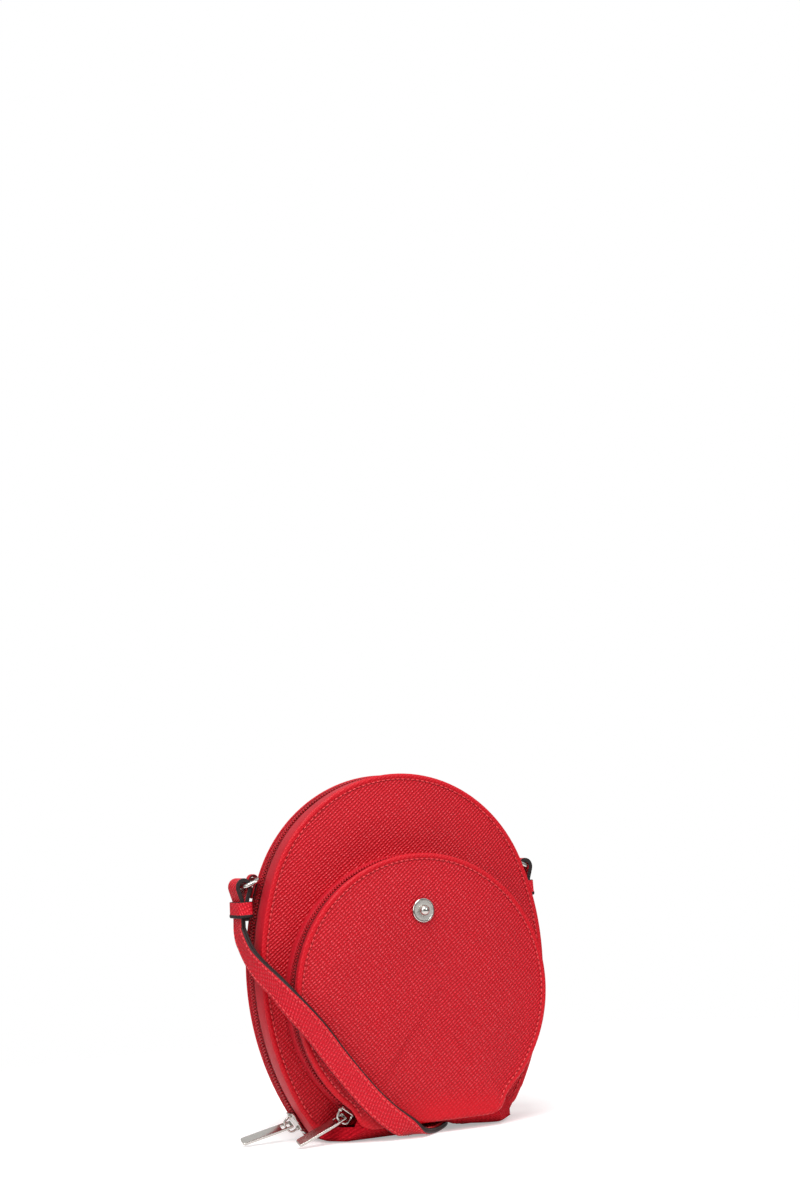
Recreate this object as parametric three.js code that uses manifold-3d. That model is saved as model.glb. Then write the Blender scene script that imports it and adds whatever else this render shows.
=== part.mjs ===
// A small oval crossbody phone pouch in red grained leather, in millimetres, +Z up, front towards -Y.
// Main compartment and round front pocket each close with a coil zip; a flat strap hangs on two rings.
import * as THREE from 'three';
import * as BufferGeometryUtils from 'three/addons/utils/BufferGeometryUtils.js';
import Module from 'manifold-3d';

// Driving dimensions: the main body
const HEIGHT = 180;
const HALF_WIDTH = 79;
const WIDEST_Z = 82;
const SIDE_RADIUS = 138.4;
const MAIN_DEPTH = 26;
const PANEL = 2.4;
const PANEL_ROUND = 0.8;
const BASE_OVERHANG = 0.9;
const BASE_THICK = 1.8;
const BASE_PAD = 4.5;
const BASE_STEPS = 48;
const BASE_ROWS = 3;
const CHANNEL_RISE = 3.8;
const CHANNEL_HALF = 17;
const CHANNEL_X = 8;
const CHANNEL_SLANT = 0.6;
const SIDE_FOLD = 1.2;
const SIDE_TOP = 7.2;
const STIFFENER_THICK = 1.2;
const STIFFENER_INSET = 6;

// The round front pocket
const POCKET_RADIUS = 69;
const POCKET_DEPTH = 20;
const POCKET_FLOOR = 10.8;
const POCKET_CUT = 9.8;
const POCKET_Z = POCKET_FLOOR + POCKET_RADIUS - POCKET_CUT;
const LIP_Z = 9.3;
const LIP_MARGIN = 0.555;
const LIP_HALF = Math.sqrt(POCKET_RADIUS ** 2 - (POCKET_RADIUS - POCKET_CUT) ** 2) + LIP_MARGIN;
const LIP_BACK = 12;
const LIP_STEP_BACK = 1.2;
const LIP_STEP_UP = 1;
const FOOT_STEP = 0.7;

// Leather, lining and the fit between neighbours
const LEATHER = 1.6;
const RIM_STEP = 0.6;
const LINING = 0.6;
const LINING_INSET = 5.2;
const LINING_RISE = 1;
const FIT = 0.3;
const HAIR = 0.1;
const OVERSHOOT = 1;

// Zips: centre planes, chain and tape
const MAIN_ZIP_Y = 18.2;
const POCKET_ZIP_Y = -9.5;
const ZIP_SLOT = 7;
const TAPE_THICK = 0.7;
const TAPE_WIDTH = 4.2;
const CHAIN_GAP = 1.2;
const COIL_WIDTH = 1.8;
const COIL_DEPTH = 1.5;
const COIL_PITCH = 3;
const COIL_NOTCH = 0.7;
const STOP_LENGTH = 1.6;
const STOP_HEIGHT = 1;
const LINING_SLIT = 5;

// Sliders and pullers
const MAIN_SLIDER_BACK = 8;
const POCKET_SLIDER_BACK = 7.9;
const SLIDER_LENGTH = 10;
const SLIDER_WIDTH = 8.2;
const SLIDER_PLATE = 1.6;
const SLIDER_UNDERPLATE = 1;
const SLIDER_NARROWING = 0.6;
const SLIDER_POST = 0.6;
const SLIDER_POST_LENGTH = 3;
const BRIDGE_WIDTH = 1.2;
const BRIDGE_LENGTH = 8.4;
const BRIDGE_OPENING = 4.4;
const BRIDGE_WALL = 1.1;
const BRIDGE_SHOULDER = 2.4;
const WELD = 0.5;
const PULLER_LENGTH = 27;
const PULLER_WIDTH = 5;
const PULLER_THICK = 1.6;
const PULLER_BAR = 1.4;
const PULLER_SLOT = 5.5;
const PULLER_CORNER = 1;
const PULLER_TAPER = 0.2;
const PULLER_TWIST = 30;
const PULLER_LOWEST = 0.4;

// Ball stud on the pocket
const STUD_RISE = 40.5;
const STUD_Z = POCKET_Z + STUD_RISE;
const STUD_FLANGE = 6;
const STUD_BALL = 2.9;
const STUD_BALL_HEIGHT = 3.6;
const STUD_NECK = 1.8;
const FLANGE_EDGE = 0.9;
const FLANGE_TOP = 1.4;
const FLANGE_DISH = 1.1;
const FLANGE_CHAMFER = 0.5;
const FLANGE_RIM = 1.2;
const STUD_SHANK = 1.5;
const STUD_WASHER = 4;
const WASHER_THICK = 1;

// Rings, tabs and the strap
const RING_Z = 129.5;
const RING_WIRE = 1.2;
const RING_REACH = 8.5;
const RING_SPAN = 18.4;
const RING_CORNER = 3.2;
const RING_PLAY = 0.4;
const LEFT_RING_Y = 18.8;
const RIGHT_RING_Y = 25;
const LEFT_RING_DROP = 20;
const RIGHT_RING_DROP = 22;
const TAB_FRONT = 20.3;
const TAB_REAR = 23.5;
const TAB_LEATHER = 1.3;
const TAB_LENGTH = 9;
const TAB_PINCH = 3.2;
const STRAP_WIDTH = 12;
const STRAP_THICK = 2.2;
const STRAP_FOLD = 17;
const FOLD_PLAY = 0.9;
const FOLD_SWELL = 3.5;
const FOLD_CLOSE = 7.5;
const KEEPER_HEIGHT = 8;
const KEEPER_LEATHER = 1.4;
const KEEPER_DROP = 7.5;
const COIL_X = -3;
const COIL_Y = 74;
const COIL_STEP = 4.7;
const COIL_CORE = 12;
const COIL_TURNS = 2.25;
const TURN_STEPS = 24;
const BEND_STEPS = 8;

// Facets on each arc of the oval, and on the pocket's circle
const OVAL_STEPS = 10;
const ROUND_STEPS = 30;

// Finishes, as seen on the object
const finish = (colour, roughness, metalness = 0) =>
  new THREE.MeshStandardMaterial({ color: colour, roughness, metalness });
const GRAINED = finish('#b8182a', 0.5);
const SMOOTH = finish('#b93a42', 0.45);
const WOVEN = finish('#8e1f2a', 0.85);
const CHAIN = finish('#5c1d22', 0.6);
const LINED = finish('#8a3a40', 0.9);
const BOARD = finish('#6f6456', 0.9);
const NICKEL = finish('#c9c7c3', 0.2, 1);

const wasm = await Module();
wasm.setup();
const pouch = new THREE.Group();
const strapNames = new Set();

// Solid operations
function solid(geometry) {
  const plain = geometry.clone();
  plain.deleteAttribute('normal');
  plain.deleteAttribute('uv');
  const merged = BufferGeometryUtils.mergeVertices(plain, 1e-4);
  return new wasm.Manifold(new wasm.Mesh({
    numProp: 3,
    vertProperties: new Float32Array(merged.attributes.position.array),
    triVerts: new Uint32Array(merged.index.array),
  }));
}

function fromSolid(body) {
  const mesh = body.getMesh();
  const geometry = new THREE.BufferGeometry();
  geometry.setAttribute('position', new THREE.BufferAttribute(new Float32Array(mesh.vertProperties), 3));
  geometry.setIndex(new THREE.BufferAttribute(new Uint32Array(mesh.triVerts), 1));
  return geometry;
}

const join = (...parts) => fromSolid(parts.map(solid).reduce((a, b) => a.add(b)));
const cut = (from, ...tools) => fromSolid(tools.map(solid).reduce((a, b) => a.subtract(b), solid(from)));

function piece(name, geometry, material, parent = pouch) {
  const mesh = new THREE.Mesh(geometry, material);
  mesh.name = name;
  parent.add(mesh);
  return mesh;
}

// A shape drawn in x and z becomes a slab between two depths
function slab(shape, front, rear, round = 0, curveSegments = OVAL_STEPS) {
  const options = { depth: rear - front - 2 * round, curveSegments, bevelEnabled: round > 0 };
  if (round > 0) {
    Object.assign(options, {
      bevelThickness: round, bevelSize: round, bevelOffset: -round, bevelSegments: 2,
    });
  }
  return new THREE.ExtrudeGeometry(shape, options).rotateX(Math.PI / 2).translate(0, rear - round, 0);
}

const box = (x0, x1, y0, y1, z0, z1) => new THREE.BoxGeometry(x1 - x0, y1 - y0, z1 - z0)
  .translate((x0 + x1) / 2, (y0 + y1) / 2, (z0 + z1) / 2);

function mirrored(geometry) {
  const copy = geometry.index ? geometry.toNonIndexed() : geometry.clone();
  const p = copy.attributes.position;
  for (let i = 0; i < p.count; i += 3) {
    const first = [p.getX(i), p.getY(i), p.getZ(i)];
    p.setXYZ(i, -p.getX(i + 1), p.getY(i + 1), p.getZ(i + 1));
    p.setXYZ(i + 1, -first[0], first[1], first[2]);
    p.setX(i + 2, -p.getX(i + 2));
  }
  return copy;
}

// Two tracks: the three-arc oval of the body, and the circle of the pocket
function ovalTrack(floor) {
  const offset = SIDE_RADIUS - HALF_WIDTH;
  const meet = Math.PI / 2 - 2 * Math.atan((WIDEST_Z + SIDE_RADIUS - HEIGHT) / offset);
  const topZ = WIDEST_Z + offset * Math.tan(meet);
  const topRadius = SIDE_RADIUS - offset / Math.cos(meet);
  const arcs = (inset) => {
    const low = -Math.asin((WIDEST_Z - floor) / (SIDE_RADIUS - inset));
    return [
      { x: -offset, z: WIDEST_Z, r: SIDE_RADIUS - inset, from: low, to: meet },
      { x: 0, z: topZ, r: topRadius - inset, from: meet, to: Math.PI - meet },
      { x: offset, z: WIDEST_Z, r: SIDE_RADIUS - inset, from: Math.PI - meet, to: Math.PI - low },
    ];
  };
  const foot = arcs(0)[0];
  const footHalf = foot.x + foot.r * Math.cos(foot.from);
  const centre = new THREE.Vector2(offset, WIDEST_Z);
  return { arcs, centre, footHalf, radius: SIDE_RADIUS, steps: OVAL_STEPS };
}

function roundTrack(floor) {
  const arcs = (inset) => {
    const low = -Math.asin((POCKET_Z - floor) / (POCKET_RADIUS - inset));
    return [{ x: 0, z: POCKET_Z, r: POCKET_RADIUS - inset, from: low, to: Math.PI - low }];
  };
  return { arcs, centre: new THREE.Vector2(0, POCKET_Z), radius: POCKET_RADIUS, steps: ROUND_STEPS };
}

const addArcs = (path, arcs) => arcs.forEach((a) => path.absarc(a.x, a.z, a.r, a.from, a.to, false));
const addArcsBack = (path, arcs) => [...arcs].reverse()
  .forEach((a) => path.absarc(a.x, a.z, a.r, a.to, a.from, true));

function filled(track, inset) {
  const shape = new THREE.Shape();
  addArcs(shape, track.arcs(inset));
  shape.closePath();
  return shape;
}

function band(track, outer, inner) {
  const shape = new THREE.Shape();
  addArcs(shape, track.arcs(outer));
  addArcsBack(shape, track.arcs(inner));
  shape.closePath();
  return shape;
}

// A toothed band: the outer edge of a coil chain, one notch per turn of the coil
function toothed(track, outer, inner, phase) {
  const points = [];
  for (const arc of track.arcs(outer)) {
    const count = Math.round((arc.to - arc.from) * arc.r / COIL_PITCH);
    for (let i = 0; i < count; i += 1) {
      const crest = arc.from + (arc.to - arc.from) * (i + 0.25 + phase) / count;
      const notch = arc.from + (arc.to - arc.from) * (i + 0.75 - phase) / count;
      const turns = phase > 0 ? [[notch, COIL_NOTCH], [crest, 0]] : [[crest, 0], [notch, COIL_NOTCH]];
      for (const [angle, depth] of turns) {
        points.push(new THREE.Vector2(
          arc.x + (arc.r - depth) * Math.cos(angle), arc.z + (arc.r - depth) * Math.sin(angle)));
      }
    }
  }
  const shape = new THREE.Shape(points);
  addArcsBack(shape, track.arcs(inner));
  shape.closePath();
  return shape;
}

const smooth = (points) => new THREE.CatmullRomCurve3(points, false, 'centripetal');

// A strip of leather of even thickness along a drawn profile, as points [u, v]
function stripShape(points, thick, samples) {
  const curve = smooth(points.map(([u, v]) => new THREE.Vector3(u, v, 0)));
  const left = [];
  const right = [];
  for (let i = 0; i <= samples; i += 1) {
    const at = curve.getPoint(i / samples);
    const along = curve.getTangent(i / samples);
    left.push(new THREE.Vector2(at.x - along.y * thick / 2, at.y + along.x * thick / 2));
    right.push(new THREE.Vector2(at.x + along.y * thick / 2, at.y - along.x * thick / 2));
  }
  return new THREE.Shape([...left, ...right.reverse()]);
}

// Rings of points joined into one closed sweep
function skin(rings, closed = false) {
  const sides = rings[0].length;
  const positions = rings.flat().flatMap((p) => [p.x, p.y, p.z]);
  const index = [];
  const count = closed ? rings.length : rings.length - 1;
  for (let i = 0; i < count; i += 1) {
    const here = i * sides;
    const next = ((i + 1) % rings.length) * sides;
    for (let k = 0; k < sides; k += 1) {
      const m = (k + 1) % sides;
      index.push(here + k, next + k, next + m, here + k, next + m, here + m);
    }
  }
  if (!closed) {
    const last = (rings.length - 1) * sides;
    for (let k = 1; k < sides - 1; k += 1) {
      index.push(0, k, k + 1, last, last + k + 1, last + k);
    }
  }
  const geometry = new THREE.BufferGeometry();
  geometry.setAttribute('position', new THREE.Float32BufferAttribute(positions, 3));
  geometry.setIndex(index);
  return solid(geometry).volume() > 0 ? geometry : turnedOut(geometry);
}

function turnedOut(geometry) {
  const index = geometry.index.array;
  for (let i = 0; i < index.length; i += 3) {
    [index[i], index[i + 1]] = [index[i + 1], index[i]];
  }
  return geometry;
}

// A flat strap: its section is carried along the route with its width held to a given direction
function strapSweep(places, directions) {
  const rings = places.map((at, i) => {
    const before = places[Math.max(0, i - 1)];
    const after = places[Math.min(places.length - 1, i + 1)];
    const along = new THREE.Vector3().subVectors(after, before).normalize();
    const wide = directions[i].clone();
    wide.addScaledVector(along, -wide.dot(along)).normalize();
    const face = new THREE.Vector3().crossVectors(along, wide).normalize();
    const corner = (w, f) => at.clone().addScaledVector(wide, w * STRAP_WIDTH / 2)
      .addScaledVector(face, f * STRAP_THICK / 2);
    return [corner(1, 1), corner(-1, 1), corner(-1, -1), corner(1, -1)];
  });
  return skin(rings);
}

function strapAlong(route, samples) {
  const places = smooth(route.map(([x, y, z]) => new THREE.Vector3(x, y, z)));
  const turns = smooth(route.map((p) => new THREE.Vector3(p[3], p[4], p[5])));
  const steps = [...Array(samples + 1).keys()].map((i) => i / samples);
  return strapSweep(steps.map((t) => places.getPoint(t)), steps.map((t) => turns.getPoint(t)));
}

// Panels, gussets, tapes and linings of one zipped compartment
const mainFloor = BASE_THICK + 4 * FIT;
const mainTrack = ovalTrack(mainFloor);
const pocketTrack = roundTrack(POCKET_FLOOR);
const bandInner = RIM_STEP + LEATHER;
const coilOuter = RIM_STEP + HAIR;
const coilInner = coilOuter + COIL_DEPTH;
const tapeOuter = Math.max(bandInner, coilInner) + FIT;
const tapeInner = tapeOuter + TAPE_THICK;

function zip(name, track, zipY) {
  const half = CHAIN_GAP / 2;
  for (const [side, sign] of [['front', -1], ['rear', 1]]) {
    const from = (distance) => zipY + sign * distance;
    const span = (near, far) => [from(near), from(far)].sort((a, b) => a - b);
    const tape = slab(band(track, tapeOuter, tapeInner), ...span(half, half + TAPE_WIDTH), 0, track.steps);
    piece(`${name}_zip_tape_${side}`, tape, WOVEN);
    const teeth = toothed(track, coilOuter, coilInner, sign > 0 ? 0.5 : 0);
    piece(`${name}_zip_coil_${side}`, slab(teeth, ...span(half, half + COIL_WIDTH), 0, track.steps), CHAIN);
  }
}

function lining(name, track, front, rear, floor, zipY) {
  const outer = filled(track, LINING_INSET);
  const inner = filled(track, LINING_INSET + LINING);
  const slit = band(track, LINING_INSET - OVERSHOOT, LINING_INSET + LINING + OVERSHOOT);
  const shell = slab(outer, front, rear, 0, track.steps);
  const hollow = slab(inner, front + LINING, rear - LINING, 0, track.steps);
  const half = LINING_SLIT / 2;
  const under = (top) => box(-HALF_WIDTH, HALF_WIDTH, front - OVERSHOOT, rear + OVERSHOOT, -HEIGHT, top);
  const below = under(floor);
  const bottom = under(floor + LINING);
  const room = cut(hollow, bottom);
  piece(name, cut(shell, below, room, slab(slit, zipY - half, zipY + half, 0, track.steps)), LINED);
}

// Main compartment
const slotFront = MAIN_ZIP_Y - ZIP_SLOT / 2;
const slotRear = MAIN_ZIP_Y + ZIP_SLOT / 2;
const rearFace = MAIN_DEPTH - PANEL;
const baseHalf = ovalTrack(0).footHalf + BASE_OVERHANG;
// The base lies flat but for a channel, slanting from front to rear, where the strap passes under it
const channelY = (x) => (x - CHANNEL_X) / CHANNEL_SLANT;
const channel = (x, y) => {
  const share = Math.min(1, Math.abs(x - CHANNEL_X - CHANNEL_SLANT * y) / CHANNEL_HALF);
  return CHANNEL_RISE * (1 - share ** 4) ** 2;
};
const baseTop = BASE_THICK + CHANNEL_RISE;
const soleHalf = (y) => baseHalf - (baseHalf - LIP_HALF) * THREE.MathUtils.clamp(-y / POCKET_DEPTH, 0, 1);

function frontPanel() {
  const track = ovalTrack(baseTop + 2 * FIT);
  piece('front_panel', slab(filled(track, 0), 0, PANEL, PANEL_ROUND), GRAINED);
}

function rearPanel() {
  const track = ovalTrack(0);
  const shape = new THREE.Shape();
  addArcs(shape, track.arcs(0));
  for (let i = 1; i < BASE_STEPS; i += 1) {
    const x = -baseHalf + 2 * baseHalf * i / BASE_STEPS;
    shape.lineTo(x, channel(x, rearFace));
  }
  shape.closePath();
  piece('rear_panel', slab(shape, rearFace, MAIN_DEPTH, PANEL_ROUND), GRAINED);
}

function mainGussets() {
  const strip = band(mainTrack, RIM_STEP, bandInner);
  piece('front_gusset', slab(strip, PANEL + FIT, slotFront), SMOOTH);
  piece('rear_gusset', slab(strip, slotRear, rearFace - FIT), SMOOTH);
}

// The base: a sole whose front narrows and slopes up to the pocket
function basePanel() {
  const lipFront = -POCKET_DEPTH;
  const foot = lipFront + LIP_BACK;
  const profile = new THREE.Shape();
  const heel = rearFace - FIT;
  const rows = [...Array(BASE_ROWS + 1).keys()].map((i) => i / BASE_ROWS);
  profile.moveTo(lipFront, LIP_Z);
  rows.forEach((t) => profile.lineTo(foot + (heel - foot) * t, 0));
  const innerFoot = foot + FOOT_STEP;
  [...rows].reverse().forEach((t) => profile.lineTo(innerFoot + (heel - innerFoot) * t, BASE_THICK));
  profile.lineTo(lipFront + LIP_STEP_BACK, LIP_Z + LIP_STEP_UP);
  profile.closePath();
  const options = { depth: 2 * baseHalf, steps: BASE_STEPS, bevelEnabled: false };
  const sole = new THREE.ExtrudeGeometry(profile, options)
    .rotateX(Math.PI / 2).rotateZ(Math.PI / 2).translate(-baseHalf, 0, 0);
  const p = sole.attributes.position;
  for (let i = 0; i < p.count; i += 1) {
    const rise = THREE.MathUtils.clamp((p.getZ(i) - BASE_THICK) / (LIP_Z - BASE_THICK), 0, 1);
    const x = p.getX(i) * soleHalf(p.getY(i)) / baseHalf;
    p.setX(i, x);
    p.setZ(i, p.getZ(i) + channel(x, p.getY(i)) * (1 - rise));
  }
  piece('base_panel', sole, GRAINED);
}

// Side folds that close the wedge between the sole's sloping front and the body
function baseSides() {
  const foot = -POCKET_DEPTH + LIP_BACK + FOOT_STEP;
  const tip = -POCKET_DEPTH + LIP_STEP_BACK;
  const slope = (LIP_Z + LIP_STEP_UP - BASE_THICK) / (foot - tip);
  const low = BASE_THICK + FIT;
  const lift = FIT * Math.sqrt(1 + slope ** 2);
  const shape = new THREE.Shape();
  shape.moveTo(-FIT, low);
  shape.lineTo(-FIT, SIDE_TOP);
  shape.lineTo(foot - (SIDE_TOP - BASE_THICK - lift) / slope, SIDE_TOP);
  shape.lineTo(foot - (low - BASE_THICK - lift) / slope, low);
  shape.closePath();
  for (const [side, sign] of [['left', -1], ['right', 1]]) {
    const fold = new THREE.ExtrudeGeometry(shape, { depth: SIDE_FOLD, bevelEnabled: false });
    const p = fold.attributes.position;
    for (let i = 0; i < p.count; i += 1) {
      const y = p.getX(i);
      p.setXYZ(i, soleHalf(y) - FIT - SIDE_FOLD + p.getZ(i), y, p.getY(i));
    }
    piece(`base_side_${side}`, sign > 0 ? fold : mirrored(fold), GRAINED);
  }
}

function baseStiffener() {
  const half = baseHalf - STIFFENER_INSET;
  const shape = new THREE.Shape();
  const xs = [...Array(BASE_STEPS + 1).keys()].map((i) => -half + 2 * half * i / BASE_STEPS);
  const highest = (x) => channel(x, THREE.MathUtils.clamp(channelY(x), 0, rearFace));
  const low = (x) => BASE_THICK + FIT + highest(x);
  xs.forEach((x, i) => (i ? shape.lineTo(x, low(x)) : shape.moveTo(x, low(x))));
  [...xs].reverse().forEach((x) => shape.lineTo(x, low(x) + STIFFENER_THICK));
  shape.closePath();
  piece('base_stiffener', slab(shape, PANEL + 2 * FIT, rearFace - 2 * FIT), BOARD);
}

// Pocket
function pocket() {
  const front = -POCKET_DEPTH;
  const panelBack = front + PANEL;
  const hole = new THREE.CylinderGeometry(STUD_SHANK + FIT, STUD_SHANK + FIT, 3 * PANEL, 16)
    .translate(0, front + PANEL / 2, STUD_Z);
  const disc = slab(filled(pocketTrack, 0), front, panelBack, PANEL_ROUND, ROUND_STEPS);
  piece('pocket_panel', cut(disc, hole), GRAINED);
  const strip = band(pocketTrack, RIM_STEP, bandInner);
  const frontStrip = slab(strip, panelBack + FIT, POCKET_ZIP_Y - ZIP_SLOT / 2, 0, ROUND_STEPS);
  const rearStrip = slab(strip, POCKET_ZIP_Y + ZIP_SLOT / 2, -FIT, 0, ROUND_STEPS);
  piece('pocket_front_gusset', frontStrip, SMOOTH);
  piece('pocket_rear_gusset', rearStrip, SMOOTH);
  zip('pocket', pocketTrack, POCKET_ZIP_Y);
  const liningFront = panelBack + 3 * FIT + WASHER_THICK;
  lining('pocket_lining', pocketTrack, liningFront, -2 * FIT, POCKET_FLOOR + LINING_RISE, POCKET_ZIP_Y);
}

function stud() {
  const front = -POCKET_DEPTH;
  const shoulder = STUD_FLANGE - FLANGE_CHAMFER;
  const profile = [[0, -PANEL - FIT], [STUD_SHANK, -PANEL - FIT], [STUD_SHANK, FIT], [STUD_FLANGE, FIT],
    [STUD_FLANGE, FLANGE_EDGE], [shoulder, FLANGE_TOP], [STUD_FLANGE - FLANGE_RIM, FLANGE_TOP],
    [shoulder - FLANGE_RIM, FLANGE_DISH], [STUD_NECK, FLANGE_DISH]];
  for (let i = 3; i <= BEND_STEPS; i += 1) {
    const angle = -Math.PI / 2 + Math.PI * i / BEND_STEPS;
    profile.push([STUD_BALL * Math.cos(angle), STUD_BALL_HEIGHT + STUD_BALL * Math.sin(angle)]);
  }
  profile[profile.length - 1][0] = 0;
  const lathe = new THREE.LatheGeometry(profile.map(([r, h]) => new THREE.Vector2(r, h)), 16);
  piece('stud_cap', lathe.rotateX(Math.PI).translate(0, front, STUD_Z), NICKEL);
  const washer = new THREE.CylinderGeometry(STUD_WASHER, STUD_WASHER, WASHER_THICK, 20);
  piece('stud_washer', washer.translate(0, front + PANEL + 2 * FIT + WASHER_THICK / 2, STUD_Z), NICKEL);
}

// A slider in its own frame: x along the track, y across the chain, z out of the bag
function sliderGeometry() {
  const plateLow = -(coilOuter - FIT - HAIR);
  const top = box(-SLIDER_LENGTH / 2, SLIDER_LENGTH / 2, -SLIDER_WIDTH / 2, SLIDER_WIDTH / 2,
    plateLow, plateLow + SLIDER_PLATE);
  const low = -(tapeInner + FIT + HAIR);
  const narrow = SLIDER_WIDTH / 2 - SLIDER_NARROWING;
  const bottom = box(-SLIDER_LENGTH / 2, SLIDER_LENGTH / 2, -narrow, narrow, low - SLIDER_UNDERPLATE, low);
  const nose = -SLIDER_LENGTH / 2;
  const post = box(nose, nose + SLIDER_POST_LENGTH, -SLIDER_POST / 2, SLIDER_POST / 2,
    low - WELD, plateLow + WELD);
  const bridge = new THREE.Shape();
  const half = BRIDGE_LENGTH / 2;
  const crown = BRIDGE_OPENING + BRIDGE_WALL;
  const bore = half - BRIDGE_WALL;
  bridge.moveTo(-half, -WELD);
  bridge.lineTo(-half, BRIDGE_SHOULDER);
  bridge.quadraticCurveTo(-half, crown, 0, crown);
  bridge.quadraticCurveTo(half, crown, half, BRIDGE_SHOULDER);
  bridge.lineTo(half, -WELD);
  bridge.lineTo(bore, -WELD);
  bridge.lineTo(bore, BRIDGE_SHOULDER);
  bridge.quadraticCurveTo(bore, BRIDGE_OPENING, 0, BRIDGE_OPENING);
  bridge.quadraticCurveTo(-bore, BRIDGE_OPENING, -bore, BRIDGE_SHOULDER);
  bridge.lineTo(-bore, -WELD);
  bridge.closePath();
  const deck = plateLow + SLIDER_PLATE;
  const arch = slab(bridge, -BRIDGE_WIDTH / 2, BRIDGE_WIDTH / 2, 0, BEND_STEPS).translate(0, 0, deck);
  return { geometry: join(top, bottom, post, arch), pivot: deck + BRIDGE_OPENING / 2 };
}

// A puller in its own frame: x from the crossbar to the tip, y across, z through its thickness.
// It rests twisted on the bridge, so its eye is wide enough for the bridge at that twist.
const twist = THREE.MathUtils.degToRad(PULLER_TWIST);

function pullerGeometry() {
  const outline = new THREE.Shape();
  const half = PULLER_WIDTH / 2;
  const tail = PULLER_BAR / 2;
  const shoulder = PULLER_SLOT + PULLER_CORNER;
  outline.moveTo(-tail, -half + PULLER_TAPER);
  outline.lineTo(-tail, half - PULLER_TAPER);
  outline.lineTo(shoulder, half);
  outline.lineTo(PULLER_LENGTH - PULLER_CORNER, half);
  outline.lineTo(PULLER_LENGTH, half - PULLER_CORNER);
  outline.lineTo(PULLER_LENGTH, -half + PULLER_CORNER);
  outline.lineTo(PULLER_LENGTH - PULLER_CORNER, -half);
  outline.lineTo(shoulder, -half);
  outline.closePath();
  const slot = new THREE.Path();
  const gap = (BRIDGE_WIDTH / 2 + FIT + PULLER_THICK / 2 * Math.sin(twist)) / Math.cos(twist);
  slot.moveTo(tail, -gap);
  slot.lineTo(PULLER_SLOT, -gap);
  slot.lineTo(PULLER_SLOT, gap);
  slot.lineTo(tail, gap);
  slot.closePath();
  outline.holes.push(slot);
  const plate = new THREE.ExtrudeGeometry(outline, { depth: PULLER_THICK, bevelEnabled: false });
  return plate.translate(0, 0, -PULLER_THICK / 2);
}

// Slider and puller near the left end of a track, the puller dropping until its tip nears the floor
function zipPull(name, track, back, zipY) {
  const a = track.arcs(0).at(-1).to - back / track.radius;
  const mount = new THREE.Group();
  mount.position.set(
    track.centre.x + track.radius * Math.cos(a), zipY, track.centre.y + track.radius * Math.sin(a));
  mount.rotation.y = Math.PI / 2 - a;
  const { geometry, pivot } = sliderGeometry();
  piece(`${name}_slider`, geometry, NICKEL, mount);
  pouch.add(mount);
  const hinge = new THREE.Vector3(
    mount.position.x + pivot * Math.cos(a), zipY, mount.position.z + pivot * Math.sin(a));
  const under = (PULLER_WIDTH * Math.sin(twist) + PULLER_THICK * Math.cos(twist)) / 2;
  const drop = hinge.z - under - PULLER_LOWEST;
  const arm = new THREE.Group();
  arm.position.copy(hinge);
  arm.rotation.set(-twist, Math.PI - Math.asin(drop / PULLER_LENGTH), 0, 'YXZ');
  piece(`${name}_puller`, pullerGeometry(), NICKEL, arm);
  pouch.add(arm);
  return hinge;
}

// Stops that close the chain at both ends, over both coils
function zipStops(name, track, zipY) {
  const arcs = track.arcs(0);
  const ends = [['right', arcs[0].from, arcs[0]], ['left', arcs.at(-1).to, arcs.at(-1)]];
  for (const [side, angle, arc] of ends) {
    const back = STOP_LENGTH / 2 / arc.r;
    const a = angle + (side === 'right' ? back : -back);
    const r = arc.r - coilOuter + FIT + STOP_HEIGHT / 2;
    const stop = new THREE.BoxGeometry(STOP_LENGTH, 2 * COIL_WIDTH + CHAIN_GAP, STOP_HEIGHT);
    const mesh = piece(`${name}_zip_stop_${side}`, stop, NICKEL);
    mesh.position.set(arc.x + r * Math.cos(a), zipY, arc.z + r * Math.sin(a));
    mesh.rotation.y = Math.PI / 2 - a;
  }
}

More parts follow.
